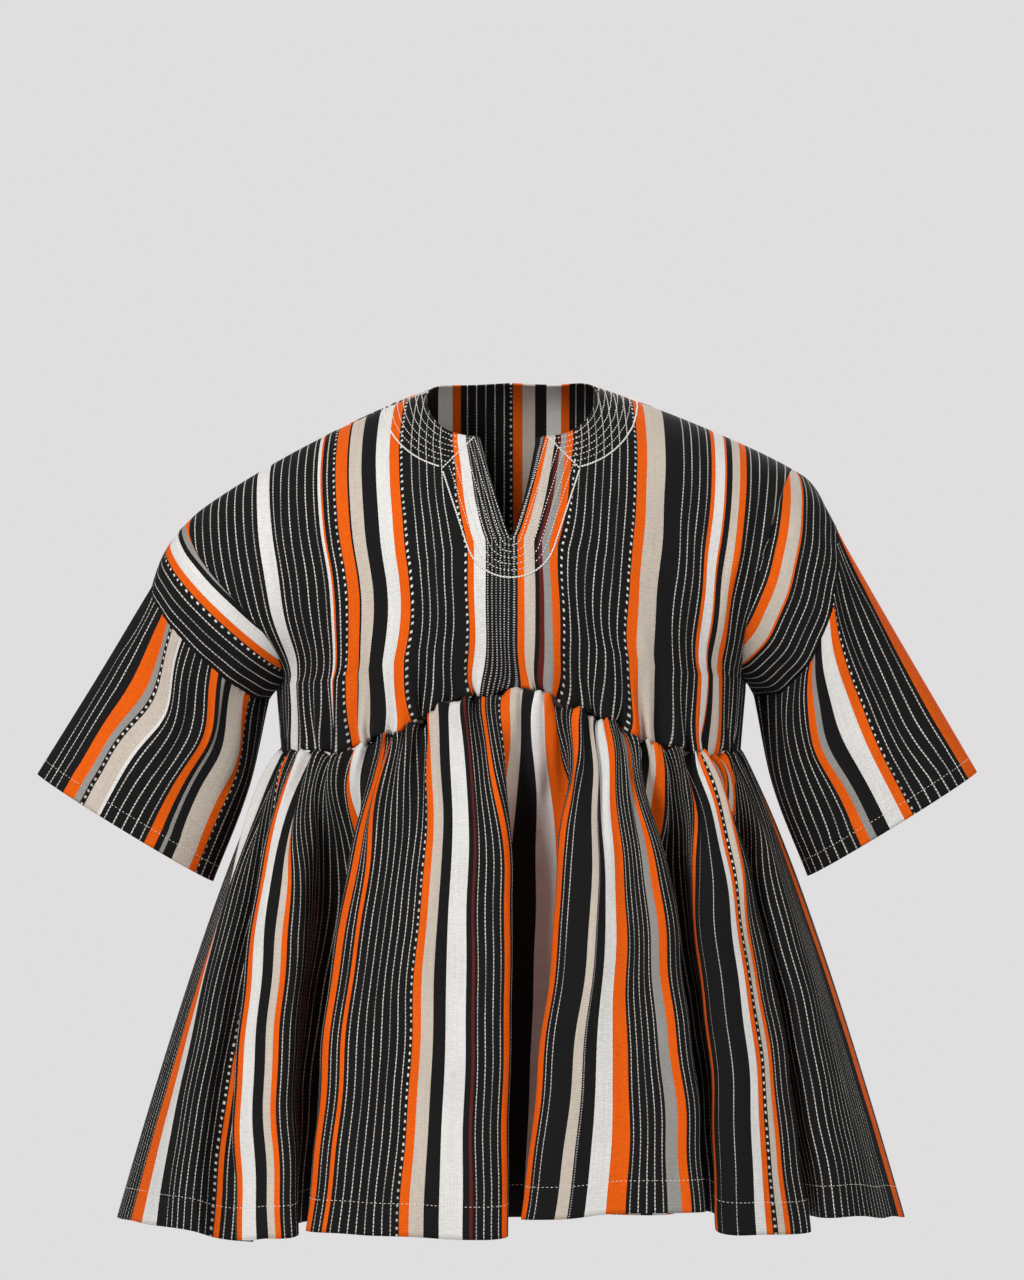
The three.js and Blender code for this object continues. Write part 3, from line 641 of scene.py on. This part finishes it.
def add_piece(name, form, material):
    mesh = bpy.data.meshes.new(name)
    form.to_mesh(mesh)
    form.free()
    mesh.materials.append(material)
    mesh.shade_smooth()
    piece = bpy.data.objects.new(name, mesh)
    bpy.context.scene.collection.objects.link(piece)
    return piece


def sew(name, cloth, rows):
    """Rows of stitches in white thread. Each row has its path, and the stitches' length, gap and width in mm."""
    form = bmesh.new()
    for path, length, gap, width in rows:
        run = lengths_along(path) * 1000
        for start in np.arange(0, run[-1] - length, length + gap):
            ends = [Vector(read_path(path, run, at)) for at in (start, start + length)]
            middle, out, _, _ = cloth.find_nearest((ends[0] + ends[1]) / 2)
            ahead = (ends[1] - ends[0]).normalized()
            out = (out - ahead * out.dot(ahead)).normalized()
            turn = Matrix((ahead, out.cross(ahead), out)).transposed().to_4x4()
            size = Matrix.Diagonal((length / 2000, width / 2000, width / 2000, 1))
            place = Matrix.Translation(middle + out * width / 4000) @ turn @ size
            bmesh.ops.create_icosphere(form, subdivisions=1, radius=1, matrix=place)
    piece = add_piece(name, form, thread)
    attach(piece, "root")


def walk_out(cloth, start, aim, count):
    """Points on the cloth at every millimetre from a point of the neck's edge, going straight away from it."""
    point, out, _, _ = cloth.find_nearest(start)
    path = [point]
    for _ in range(count):
        step = (aim - out * aim.dot(out)).normalized() / 1000
        point, out, _, _ = cloth.find_nearest(point + step)
        path.append(point)
    return path


def signed_power(x, power):
    return math.copysign(abs(x) ** power, x)


FACING = 40
SLIT_CORNER, SLIT_FOOT, SLIT_SIDE = (31, -45), (0, -139), 98
MITRE = 32
# Length, gap and width of the stitches. The thick ones overlap.
ROW_STITCH, BORDER_STITCH, MITRE_STITCH = (2.4, 1.1, 0.95), (3.3, -0.5, 1.9), (3.3, -0.3, 1.5)
shoulders = outside_of(front, back)
# Paths out from the neck's edge, from half a millimetre outside it. None starts at the slit.
round_neck = []
for angle in np.radians(np.linspace(-90, 270, 361)):
    square = NECK["front"] if math.sin(angle) < 0 else NECK["back"]
    x, y = (signed_power(part, 2 / square) for part in (math.cos(angle), math.sin(angle)))
    aim = Vector((signed_power(x, square - 1) / NECK["wide"], signed_power(y, square - 1) / NECK["deep"], 0))
    above = Vector(((NECK["wide"] + 0.5) * x / 1000, (NECK["y"] + (NECK["deep"] + 0.5) * y) / 1000, 0.1))
    hit = shoulders.ray_cast(above, Vector((0, 0, -1)))[0]
    if hit is not None and not (abs(hit.x) < (SLIT["half_opening"] + 1) / 1000 and hit.y < 0):
        round_neck.append(walk_out(shoulders, hit, aim.normalized(), FACING))
round_neck = np.array(round_neck)


def beside_mitre(path):
    """How far each point lies from the mitres, in mm: more than 0 on the neck's side, less on the slit's. Points
    well behind the slit are all on the neck's side."""
    beside = path[:, 2] * 1000 - SLIT_CORNER[1] + np.abs(path[:, 0]) * 1000 - SLIT_CORNER[0]
    return np.where(path[:, 1] > -0.03, FACING, beside)


def on_front(across, height):
    """Points of the front, by their places seen from in front, in mm. One that falls in the neck is left out."""
    starts = [Vector((x / 1000, -1, z / 1000)) for x, z in zip(across, height)]
    hits = [shoulders.ray_cast(start, Vector((0, 1, 0)))[0] for start in starts]
    return np.array([hit for hit in hits if hit is not None and hit.y < -0.04])


def round_slit(far):
    """A row round the slit, at a distance from its edge: down one side, round the foot and up the other side."""
    down = np.subtract(SLIT_FOOT, SLIT_CORNER) / math.dist(SLIT_FOOT, SLIT_CORNER)
    side = np.array(SLIT_CORNER) + np.linspace(-FACING, SLIT_SIDE, 70)[:, None] * down
    side = side + far * np.array((-down[1], down[0]))
    lean = math.asin(-down[0])
    turn = np.linspace(lean, math.pi - lean, 40)
    # The front slopes here, so a row drops a little less than it lies from the foot.
    foot = np.stack([far * np.cos(turn), SLIT_FOOT[1] - 0.93 * far * np.sin(turn)], axis=1)
    row = np.concatenate([side, foot, side[::-1] * (-1, 1)])
    return on_front(row[:, 0], row[:, 1])


rows = []
for far in (3, 9, 15, 21, 27, 33, FACING):
    stitch = BORDER_STITCH if far == FACING else ROW_STITCH
    ring = round_neck[:, far]
    rows.append((ring[beside_mitre(ring) > 0], *stitch))
    slit = round_slit(far)
    rows.append((slit[beside_mitre(slit) < 0], *stitch))
for side in (-1, 1):
    mitre = np.array([(side * (SLIT_CORNER[0] + step), SLIT_CORNER[1] - step) for step in range(1, MITRE + 1)])
    rows.append((on_front(mitre[:, 0], mitre[:, 1]), *MITRE_STITCH))
sew("neck_stitches", shoulders, rows)


def row_at(points, along, far):
    """The row of a piece's points that lies so far along its cloth."""
    return np.array([read_path(points[:, j], along[:, j], far) for j in range(points.shape[1])]) / 1000


# ---- Arms ----
# A band of one strip round each armhole, its stripes running round the arm, and a wide short sleeve below
# it, its stripes running down. The sleeve is eased into the band with small tucks, and its cuff's turn-up
# shows only as a row of stitches round it.

TUCKS, TUCK_DEPTH = 12, 2.4
BAND_BULGE = 7
SLEEVE_RINGS = ((0, "band_seam"), (0.42, "elbow"), (1, "cuff"))
# Soft troughs down each sleeve: place round it, width, depth.
SLEEVE_TROUGHS = [(0.16, 0.05, 6), (0.34, 0.04, 5), (0.66, 0.05, 5), (0.85, 0.05, 6)]


def sleeve_points(arm, turn, t):
    """The outside of a sleeve on the wearer's left, from its band's seam (0) to its cuff (1)."""
    rings = [(at, *ARM_RINGS[arm][name]) for at, name in SLEEVE_RINGS]
    turn, t = np.broadcast_arrays(turn, t)
    ring = through(rings, t.ravel()).reshape(*t.shape, 10)
    points = ring_points(ring, turn)
    dip = TUCK_DEPTH * np.exp(-t / 0.16) * (0.5 - 0.5 * np.cos(2 * np.pi * TUCKS * turn))
    for place, width, depth in SLEEVE_TROUGHS:
        dip += depth * bell(turn - place, width) * np.sin(np.pi * np.clip(t * 1.15, 0, 1)) ** 0.6
    inward = (ring[..., 0:3] + ring[..., 3:6]) / 2 - points
    return points + unit(inward) * dip[..., None]


def band_points(arm, turn, t):
    """The outside of a band, from the armhole (0) to the sleeve's seam (1)."""
    turn, t = np.broadcast_arrays(turn, t)
    armhole = np.broadcast_to(np.array(ARM_RINGS[arm]["armhole"], float), (*turn.shape, 10))
    points = mix(ring_points(armhole, turn), sleeve_points(arm, turn, 0 * t), t[..., None])
    fill = BAND_BULGE * np.sin(np.pi * t) * np.sin(np.pi * turn) ** 2
    outward = points - (armhole[..., 0:3] + armhole[..., 3:6]) / 2
    return points + unit(outward) * fill[..., None]


def on_arm(arm, points, stripes, along):
    """Points, stripes and lengths for the wearer's left arm, or their mirror image for the right one."""
    return (points, stripes, along) if arm == "left" else turned_over(points * (-1, 1, 1), stripes, along)


# Stripes round each cuff, from under the arm over the front to the top and down behind.
SLEEVE_STRIPES = {
    "right": [
        (35, "pins", 3), (38, "dots", 1), (46, "orange"), (66, "cream"), (76, "black"), (80, "grey"),
        (86, "black"), (96, "orange"), (144, "pins", 5), (147, "white"), (162, "cream"), (167, "dots", 1),
        (174, "grey"), (187, "orange"), (192, "black"), (219, "pins", 3), (242, "black"), *strips(242, 483, 50),
    ],
    "left": [
        (80, "pins", 8), (90, "orange"), (97, "grey"), (111, "black"), (127, "white"), (136, "orange"),
        (140, "dots", 1), (206, "pins", 6), (238, "orange"), *strips(238, 472, 30),
    ],
}  # fmt: skip
CUFF_ROUND = {"left": 472, "right": 483}
CUFF_TURN, CUFF_STITCH = 15, (2.6, 1.3, 0.6)
# Stripes of each band, from the sleeve's seam up to the armhole.
BAND_STRIPES = {
    "right": [
        (36, "pins", 4), (40, "dots", 1), (47, "orange"), (59, "white"),
        (64, "black"), (70, "grey"), (79, "orange"), (90, "pins", 1),
    ],
    "left": [(46, "pins", 6), (48, "orange"), (60, "cream"), (69, "orange"), (90, "pins", 3)],
}  # fmt: skip
SLEEVE_CREASES = {
    "right": [
        (30, -20, 44, 120, 7, -4.2), (78, -30, 84, 90, 6, 3.5), (112, -20, 118, 150, 8, -4.2),
        (150, -40, 152, 80, 6, 3.2), (176, -30, 168, 130, 8, -3.8), (210, -20, 214, 70, 7, -3.2),
        (290, -30, 286, 120, 8, -3.8), (350, -30, 356, 100, 8, -3.8), (410, -30, 402, 130, 8, -3.8),
    ],
    "left": [
        (26, -20, 40, 130, 7, -4.2), (70, -30, 78, 110, 7, 3.5), (100, -30, 104, 170, 8, -4.5),
        (134, -30, 140, 90, 6, 3.2), (160, -30, 166, 150, 8, -4.2), (200, -30, 198, 90, 7, -3.2),
        (280, -30, 276, 130, 8, -3.8), (340, -30, 346, 110, 8, -3.8), (396, -30, 388, 130, 8, -3.8),
    ],
}  # fmt: skip
# Where each sleeve's stripes bend sideways over its folds: place round it, distance below the band, shift. Each
# bend fades away within BEND_ROUND and BEND_DOWN.
BEND_ROUND, BEND_DOWN = 26, 38
SLEEVE_DROP = 190
SLEEVE_BENDS = {
    "right": [
        (150, 62, -14), (100, 58, -13), (50, 60, -10), (128, 34, 5), (122, 104, -5), (168, 118, 4),
        (300, 70, 6), (400, 90, -6),
    ],
    "left": [
        (100, 8, -15), (92, 80, -9), (135, 4, -7), (50, 20, -8), (140, 70, 4), (180, 120, -4),
        (290, 80, 6), (380, 60, -6),
    ],
}  # fmt: skip
ROUND = np.linspace(0, 1, 721)
BAND_ROUND = np.linspace(0, 1, 145)

for arm in ("left", "right"):
    cuff = ring_points(np.array([ARM_RINGS[arm]["cuff"]] * len(ROUND), float), ROUND)
    run = lengths_along(cuff)

    # The sleeve: its 61 rows run up from the cuff.
    stripes = lay_stripes(SLEEVE_STRIPES[arm], 0, step=3.6)
    around = stripes[0][None, :]
    t = np.linspace(1, 0, 61)[:, None]
    place = around + 0 * t
    for centre, below, shift in SLEEVE_BENDS[arm]:
        off_round, off_down = (stripes[0] - centre) / BEND_ROUND, (t * SLEEVE_DROP - below) / BEND_DOWN
        place = place + shift * np.exp(-(off_round**2) - off_down**2)
    turn = np.interp(place / CUFF_ROUND[arm] * run[-1], run, ROUND)
    points = sleeve_points(arm, turn, t)
    along = lengths_along(points)
    below_band = along[-1] - along
    height = creases(SLEEVE_CREASES[arm], around, below_band)
    height += ease_seam(around, below_band, pitch=9, reach=14, depth=1.0, seed=2)
    points = raised(points, height)
    points[:, -1] = points[:, 0]
    points, stripes, along = on_arm(arm, points, stripes, along)
    sleeve = make_cloth(f"sleeve_{arm}", f"lower_sleeve_{arm}", points, stripes, along)
    sew(f"cuff_stitches_{arm}", outside_of(sleeve), [(row_at(points, along, CUFF_TURN), *CUFF_STITCH)])

    # The band: columns run round the arm in cloth order, rows run up from the sleeve's seam to the armhole.
    stripes = lay_stripes(BAND_STRIPES[arm], 0, step=3.6)
    up = stripes[0][:, None]
    seam = band_points(arm, BAND_ROUND, 1)
    width = np.linalg.norm(band_points(arm, BAND_ROUND, 0) - seam, axis=1)
    share = np.minimum(up / width, 1)
    points = band_points(arm, BAND_ROUND, 1 - share)
    run = lengths_along(seam)
    puckers = ease_seam(run[None, :], up + 0 * share, pitch=9, reach=8, depth=0.7, seed=2)
    points = raised(points, np.where(share < 1, puckers, 0))
    points[:, -1] = points[:, 0]
    # Stripes run round the band, so its columns are its rows turned a quarter.
    points = points.transpose(1, 0, 2)[::-1]
    along = np.broadcast_to(run[::-1, None], points.shape[:2])
    band = make_cloth(f"band_{arm}", f"upper_sleeve_{arm}", *on_arm(arm, points, stripes, along))


# ---- Skirt ----
# Two wide lengths of the same strips, front and back, gathered to the yoke and hanging in deep folds.
# The folds are pinched narrow at the waist and open into broad flares above the hem.

# The hem's oval, with its furthest y in front and behind, and how the skirt widens from the waist seam to it.
HEM = {"half_width": 366, -1: -238, 1: 222, "flat": 2.2, "turn": 2.0, "flare": 0.8}
# Folds of the front and the back: x at the hem, how far the cloth lies behind the crests, height of the hem,
# x at the waist. Each flare is narrow at the waist and wide at the hem, and the cloth between them lies back.
FOLDS = {
    -1: [
        (-366, 0, -768, -212), (-350, 8, -766, -211.5), (-308, 0, -764, -209), (-268, 32, -775, -203),
        (-258, 32, -775, -201), (-238, 0, -770, -196), (-217, 0, -767, -189), (-198, 76, -758, -153),
        (-190, 76, -758, -147), (-165, 2, -760, -108), (-112, 14, -763, -74), (-28, 0, -764, -26),
        (0, 80, -752, 20), (8, 80, -752, 27), (32, 0, -746, 76), (104, 8, -742, 90), (158, 2, -742, 103),
        (180, 78, -748, 132), (189, 78, -748, 139), (212, 0, -764, 166), (262, 4, -766, 182),
        (277, 58, -758, 191), (283, 58, -756, 194), (304, 0, -754, 203), (354, 6, -762, 211),
        (366, 0, -768, 212),
    ],
    1: [
        (-366, 0, -768, -212), (-352, 34, -772, -210), (-312, 0, -776, -203), (-267, 60, -778, -184),
        (-257, 60, -778, -178), (-206, 0, -780, -152), (-147, 72, -782, -114), (-137, 72, -782, -107),
        (-78, 4, -784, -62), (-13, 76, -784, -15), (-3, 76, -784, -8), (66, 0, -784, 42), (129, 70, -782, 84),
        (139, 70, -782, 91), (196, 2, -780, 136), (251, 58, -778, 168), (261, 58, -778, 174),
        (312, 0, -776, 200), (352, 34, -772, 210), (366, 0, -768, 212),
    ],
}  # fmt: skip
SKIRT_DROP = 440
# The edge of a flare leans over the cloth that lies back beside it: this far where that cloth lies this deep.
LEAN, LEAN_DEPTH = 17, 76
OPEN_AT = 0.36  # where the flares are fully open, as a share of the drop
WITH_FOLDS = 0.85  # how far the stripes run with the folds: 0 not at all, 1 wholly
SHARES = np.linspace(0, 1, SECTION_POINTS)


def skirt_section(face, t):
    """Half a section of the skirt, without its folds, from the waist seam (0) to the hem (1), and its length."""
    waist = HALF_YOKES["left"][0][0 if face < 0 else -1]
    deep = HEM[face] * oval(HEM["flat"], HEM["turn"])
    hem = evenly(np.stack([HEM["half_width"] * ACROSS, deep, 0 * ACROSS], axis=1))[0]
    hem[:, 2] = waist[:, 2]
    return evenly(mix(waist, hem, t ** HEM["flare"]))


def fold_shares(face):
    """Where the folds lie at the waist seam and at the hem: shares of the section, from -1 to 1."""
    x, _, _, waist_x = np.array(FOLDS[face], float).T
    hem, waist = skirt_section(face, 1)[0], skirt_section(face, 0)[0]
    at_hem = np.sign(x) * np.interp(np.abs(x), hem[:, 0], SHARES)
    return np.sign(waist_x) * np.interp(np.abs(waist_x), waist[:, 0], SHARES), at_hem


FOLD_SHARES = {face: fold_shares(face) for face in (-1, 1)}


def fold_path(face, turn, t):
    """The skirt's outside at places counted in folds, at a height from the waist seam (0) to the hem (1)."""
    _, depths, hem_z, _ = np.array(FOLDS[face], float).T
    k = np.minimum(turn.astype(int), len(depths) - 2)
    w = turn - k
    eased = (1 - np.cos(np.pi * w)) / 2
    opened = smooth(t / OPEN_AT) * mix(1.1, 1, t)
    deep = opened * mix(depths[k], depths[k + 1], eased)
    at = mix(*FOLD_SHARES[face], t)
    s = mix(at[k], at[k + 1], w)
    section, length = skirt_section(face, t)
    lean = LEAN * opened * np.abs(depths[k + 1] - depths[k]) / LEAN_DEPTH * np.sin(2 * np.pi * w)
    s = s + (1 - s**12) * (lean + drawn_in(face, s * length, t * SKIRT_DROP)) / length
    wave = gathers(face, s, t, depth=6.5, seam_depth=3.4, reach=0.2)
    mirror = np.where(s < 0, -1, 1)[:, None] * (1, 0, 0) + (0, 1, 1)
    points, after, before = (read_path(section, SHARES, np.abs(s) + off) for off in (0, 0.01, -0.01))
    points = points * mirror
    points[:, 2] = mix(points[:, 2] - 0.3, mix(hem_z[k], hem_z[k + 1], eased), t)
    return points + level_out(face, after - before) * mirror * (wave - deep)[:, None]


def skirt_row(face, share, t):
    """One row of the skirt, at shares of its cloth. The stripes run mostly with the folds, and between two folds
    the cloth is spread evenly."""
    turn = np.linspace(0, len(FOLDS[face]) - 1, 3001)
    path = fold_path(face, turn, t)
    run = lengths_along(path[:, :2])
    folds = np.arange(len(FOLDS[face]))
    at = np.interp(folds, turn, run) / run[-1]
    held = at if t == 1 else mix(at, CLOTH_AT_FOLDS[face], WITH_FOLDS)
    return fold_path(face, np.interp(np.interp(share, held, at), run / run[-1], turn), t), run[-1], at


HEM_ROWS = {face: skirt_row(face, np.array([0.5]), 1) for face in (-1, 1)}
CLOTH_WIDTH = {face: row[1] for face, row in HEM_ROWS.items()}
CLOTH_AT_FOLDS = {face: row[2] for face, row in HEM_ROWS.items()}

# Stripes of the front length, from the wearer's right side seam: where each ends, yarn, thread lines.
SKIRT_FRONT_STRIPES = [
    (57, "pins", 8), (86, "orange"), (124, "white"), (138, "black"), (188, "pins", 7), (193, "dots", 1),
    (198, "orange"), (266, "pins", 8), (273, "orange"), (288, "white"), (300, "black"), (307, "cream"),
    (312, "orange"), (332, "pins", 3), (348, "pins", 2), (414, "pins", 8), (428, "orange"), (451, "white"),
    (474, "black"), (497, "pins", 3), (505, "orange"), (517, "pins", 2), (521, "orange"), (583, "pins", 8),
    (587, "dots", 1), (596, "orange"), (610, "cream"), (625, "black"), (647, "white"), (653, "black"),
    (656, "red"), (683, "pins", 4), (690, "orange"), (716, "pins", 3), (722, "dots", 1), (742, "orange"),
    # The black stripe that ends at 792 is the cloth's own black, widened and laid along the floor of the valley
    # between two flares: partly its real stripe, partly painted shade of that valley.
    (768, "cream"), (792, "black"), (812, "white"), (836, "orange"), (875, "pins", 5), (884, "orange"),
    (895, "pins", 2), (911, "black"), (922, "cream"), (926, "speckle", 1), (938, "black"), (958, "white"),
    (976, "orange"), (1014, "pins", 5), (1027, "grey"), (1036, "orange"), (1055, "pins", 3), (1075, "pins", 3),
    (1098, "white"), (1112, "black"), (1130, "cream"), (1148, "orange"), (1223, "pins", 9), (1229, "orange"),
    (1234, "black"), (1236, "pins", 1), (1246, "black"), (1252, "pins", 1), (1267, "black"), (1278, "white"),
    (1285, "orange"), (1291, "dots", 1), (1299, "cream"), (1305, "orange"), (1329, "pins", 3), (1341, "black"),
    (1362, "white"), (1376, "orange"), (1390, "black"), (1401, "cream"), (1413, "orange"), (1427, "pins", 2),
    (1584, "pins", 19), (1599, "black"), (1617, "orange"), (1628, "pins", 2), (1637, "pins", 1),
]  # fmt: skip
SKIRT_BACK_STRIPES = strips(0, CLOTH_WIDTH[1], 30)
ROWS_DOWN = np.concatenate([np.linspace(0, 0.3, 40), np.linspace(0.3, 1, 62)[1:]])  # closer near the waist
HEM_TURN, HEM_STITCH = 29, (2.6, 1.4, 0.6)

# Creases under the waist seam: across, down, to across, to down, half width, height.
SKIRT_CREASES = {
    -1: [
        (40, -60, 44, 120, 8, -6), (92, -80, 90, 180, 10, 6), (150, -60, 154, 150, 9, -6.75),
        (236, -60, 232, 140, 9, 6), (300, -80, 304, 200, 10, -6), (352, -60, 350, 130, 8, 5.25),
        (478, -60, 470, 150, 9, -6), (524, -80, 520, 210, 10, 6), (572, -60, 574, 140, 9, -6),
        (612, -60, 620, 110, 8, 5.25), (676, -80, 668, 170, 9, -6), (790, -60, 798, 150, 9, 6),
        (838, -80, 836, 190, 10, -6.75), (884, -60, 886, 130, 8, 5.25), (934, -80, 940, 200, 10, -6),
        (1010, -60, 1004, 130, 9, 6), (1092, -80, 1090, 180, 10, -6), (1150, -60, 1152, 140, 8, 6),
        (1236, -60, 1240, 130, 9, -6), (1300, -80, 1304, 200, 10, 6), (1352, -60, 1350, 150, 9, -6.75),
        (1408, -60, 1406, 120, 8, 5.25),
    ],
    1: [
        (60, -60, 64, 140, 9, -6), (120, -80, 118, 180, 10, 6), (190, -60, 194, 130, 9, -6),
        (270, -80, 272, 200, 10, 6), (350, -60, 346, 140, 9, -6), (420, -80, 424, 180, 10, 6),
        (500, -60, 496, 140, 9, -6), (580, -80, 584, 200, 10, 6), (660, -60, 664, 130, 9, -6),
        (740, -80, 736, 190, 10, 6), (820, -60, 824, 140, 9, -6), (900, -80, 896, 180, 10, 6),
        (980, -60, 984, 130, 9, -6), (1060, -80, 1056, 200, 10, 6), (1150, -60, 1154, 140, 9, -6),
        (1230, -80, 1228, 180, 10, 6), (1310, -60, 1312, 140, 9, -6),
    ],
}  # fmt: skip

for face, name, chart in ((-1, "front", SKIRT_FRONT_STRIPES), (1, "back", SKIRT_BACK_STRIPES)):
    places, yarns, lines = lay_stripes(chart, 0)
    places = np.minimum(places, CLOTH_WIDTH[face])
    points = np.array([skirt_row(face, places / CLOTH_WIDTH[face], t)[0] for t in ROWS_DOWN])
    down = lengths_along(points)
    seam, seam_length = skirt_section(face, 0)
    at_seam = np.sign(points[0, :, 0]) * np.interp(np.abs(points[0, :, 0]), seam[:, 0], SHARES * seam_length)
    points[..., 2] += waver(at_seam, down)
    height = creases(SKIRT_CREASES[face], places[None, :], down) + gathered(face, at_seam, down)
    height += ease_seam(places[None, :], down, pitch=21, reach=26, depth=2.2, seed=3)
    # Rows run up from the hem.
    sheet = (raised(points, face * height)[::-1], (places, yarns, lines), (down[-1] - down)[::-1])
    points, stripes, above_hem = sheet if face < 0 else turned_over(*sheet)
    skirt = make_cloth(f"{name}_skirt", f"skirt_{name}", points, stripes, above_hem)
    sew(f"{name}_hem_stitches", outside_of(skirt), [(row_at(points, above_hem, HEM_TURN), *HEM_STITCH)])


# ---- Studio ----
# A plain pale floor that fades into a plain pale backdrop all round, with large soft lights. The camera looks
# level at the front, from so far that there is little perspective.
BACKDROP = (0.745, 0.731, 0.738)
FLOOR_RADIUS = 3.4

paper, tree, shader = new_material("pale_floor")
shader.inputs["Base Color"].default_value = (0.70, 0.69, 0.695, 1)
shader.inputs["Roughness"].default_value = 0.9
where = wire(tree, "ShaderNodeTexCoord", {})
reach = wire(tree, "ShaderNodeVectorMath", {0: where.outputs["Object"]}, operation="LENGTH")
faded = {0: reach.outputs["Value"], 1: FLOOR_RADIUS / 2, 2: FLOOR_RADIUS}
fade = wire(tree, "ShaderNodeMapRange", faded, interpolation_type="SMOOTHSTEP")
clear = wire(tree, "ShaderNodeBsdfTransparent", {})
both = wire(tree, "ShaderNodeMixShader", {0: fade.outputs[0], 1: shader.outputs[0], 2: clear.outputs[0]})
tree.links.new(both.outputs[0], tree.nodes["Material Output"].inputs["Surface"])
disc = bmesh.new()
bmesh.ops.create_circle(disc, cap_ends=True, segments=64, radius=FLOOR_RADIUS)
bmesh.ops.translate(disc, verts=disc.verts, vec=(0, 0, -1.45))
add_piece("floor", disc, paper)

sweep, tree, _ = new_material("backdrop")
glow = wire(tree, "ShaderNodeEmission", {"Color": (*BACKDROP, 1), "Strength": 1.0})
tree.links.new(glow.outputs[0], tree.nodes["Material Output"].inputs["Surface"])
dome = bmesh.new()
bmesh.ops.create_uvsphere(dome, u_segments=48, v_segments=24, radius=30)
bmesh.ops.reverse_faces(dome, faces=dome.faces)
backdrop = add_piece("backdrop", dome, sweep)
backdrop.visible_diffuse = False
backdrop.visible_glossy = False
backdrop.visible_shadow = False

world = bpy.data.worlds.new("studio")
bpy.context.scene.world = world
world.use_nodes = True
sky = world.node_tree.nodes["Background"]
sky.inputs["Color"].default_value = (1.0, 0.99, 0.98, 1)
sky.inputs["Strength"].default_value = 0.26


def softbox(name, place, aim, size, power):
    """A large soft light that points at the smock."""
    data = bpy.data.lights.new(name, "AREA")
    data.shape = "RECTANGLE"
    data.size, data.size_y = size
    data.energy = power
    light = bpy.data.objects.new(name, data)
    bpy.context.scene.collection.objects.link(light)
    light.location = place
    light.rotation_euler = (Vector(aim) - Vector(place)).to_track_quat("-Z", "Y").to_euler()


softbox("key_light", (-2.4, -3.2, 2.0), (0, 0, -0.35), (1.3, 1.3), 175)
softbox("fill_light", (3.0, -2.6, 0.6), (0, 0, -0.4), (1.6, 1.6), 60)
softbox("back_light", (0.6, 3.0, 1.8), (0, 0, -0.3), (2.0, 2.0), 90)

CAMERA_DISTANCE = 5.0
FRAME_HEIGHT = 1.19  # metres of the smock's plane that the picture takes in
camera_data = bpy.data.cameras.new("camera")
camera = bpy.data.objects.new("camera", camera_data)
bpy.context.scene.collection.objects.link(camera)
camera.location = (0.001, -CAMERA_DISTANCE, -0.2325)
camera.rotation_euler = (math.pi / 2, 0, 0)
camera_data.sensor_fit = "VERTICAL"
camera_data.sensor_height = 36
camera_data.lens = camera_data.sensor_height * CAMERA_DISTANCE / FRAME_HEIGHT
camera_data.clip_end = 200
bpy.context.scene.camera = camera
bpy.context.scene.view_settings.view_transform = "Standard"
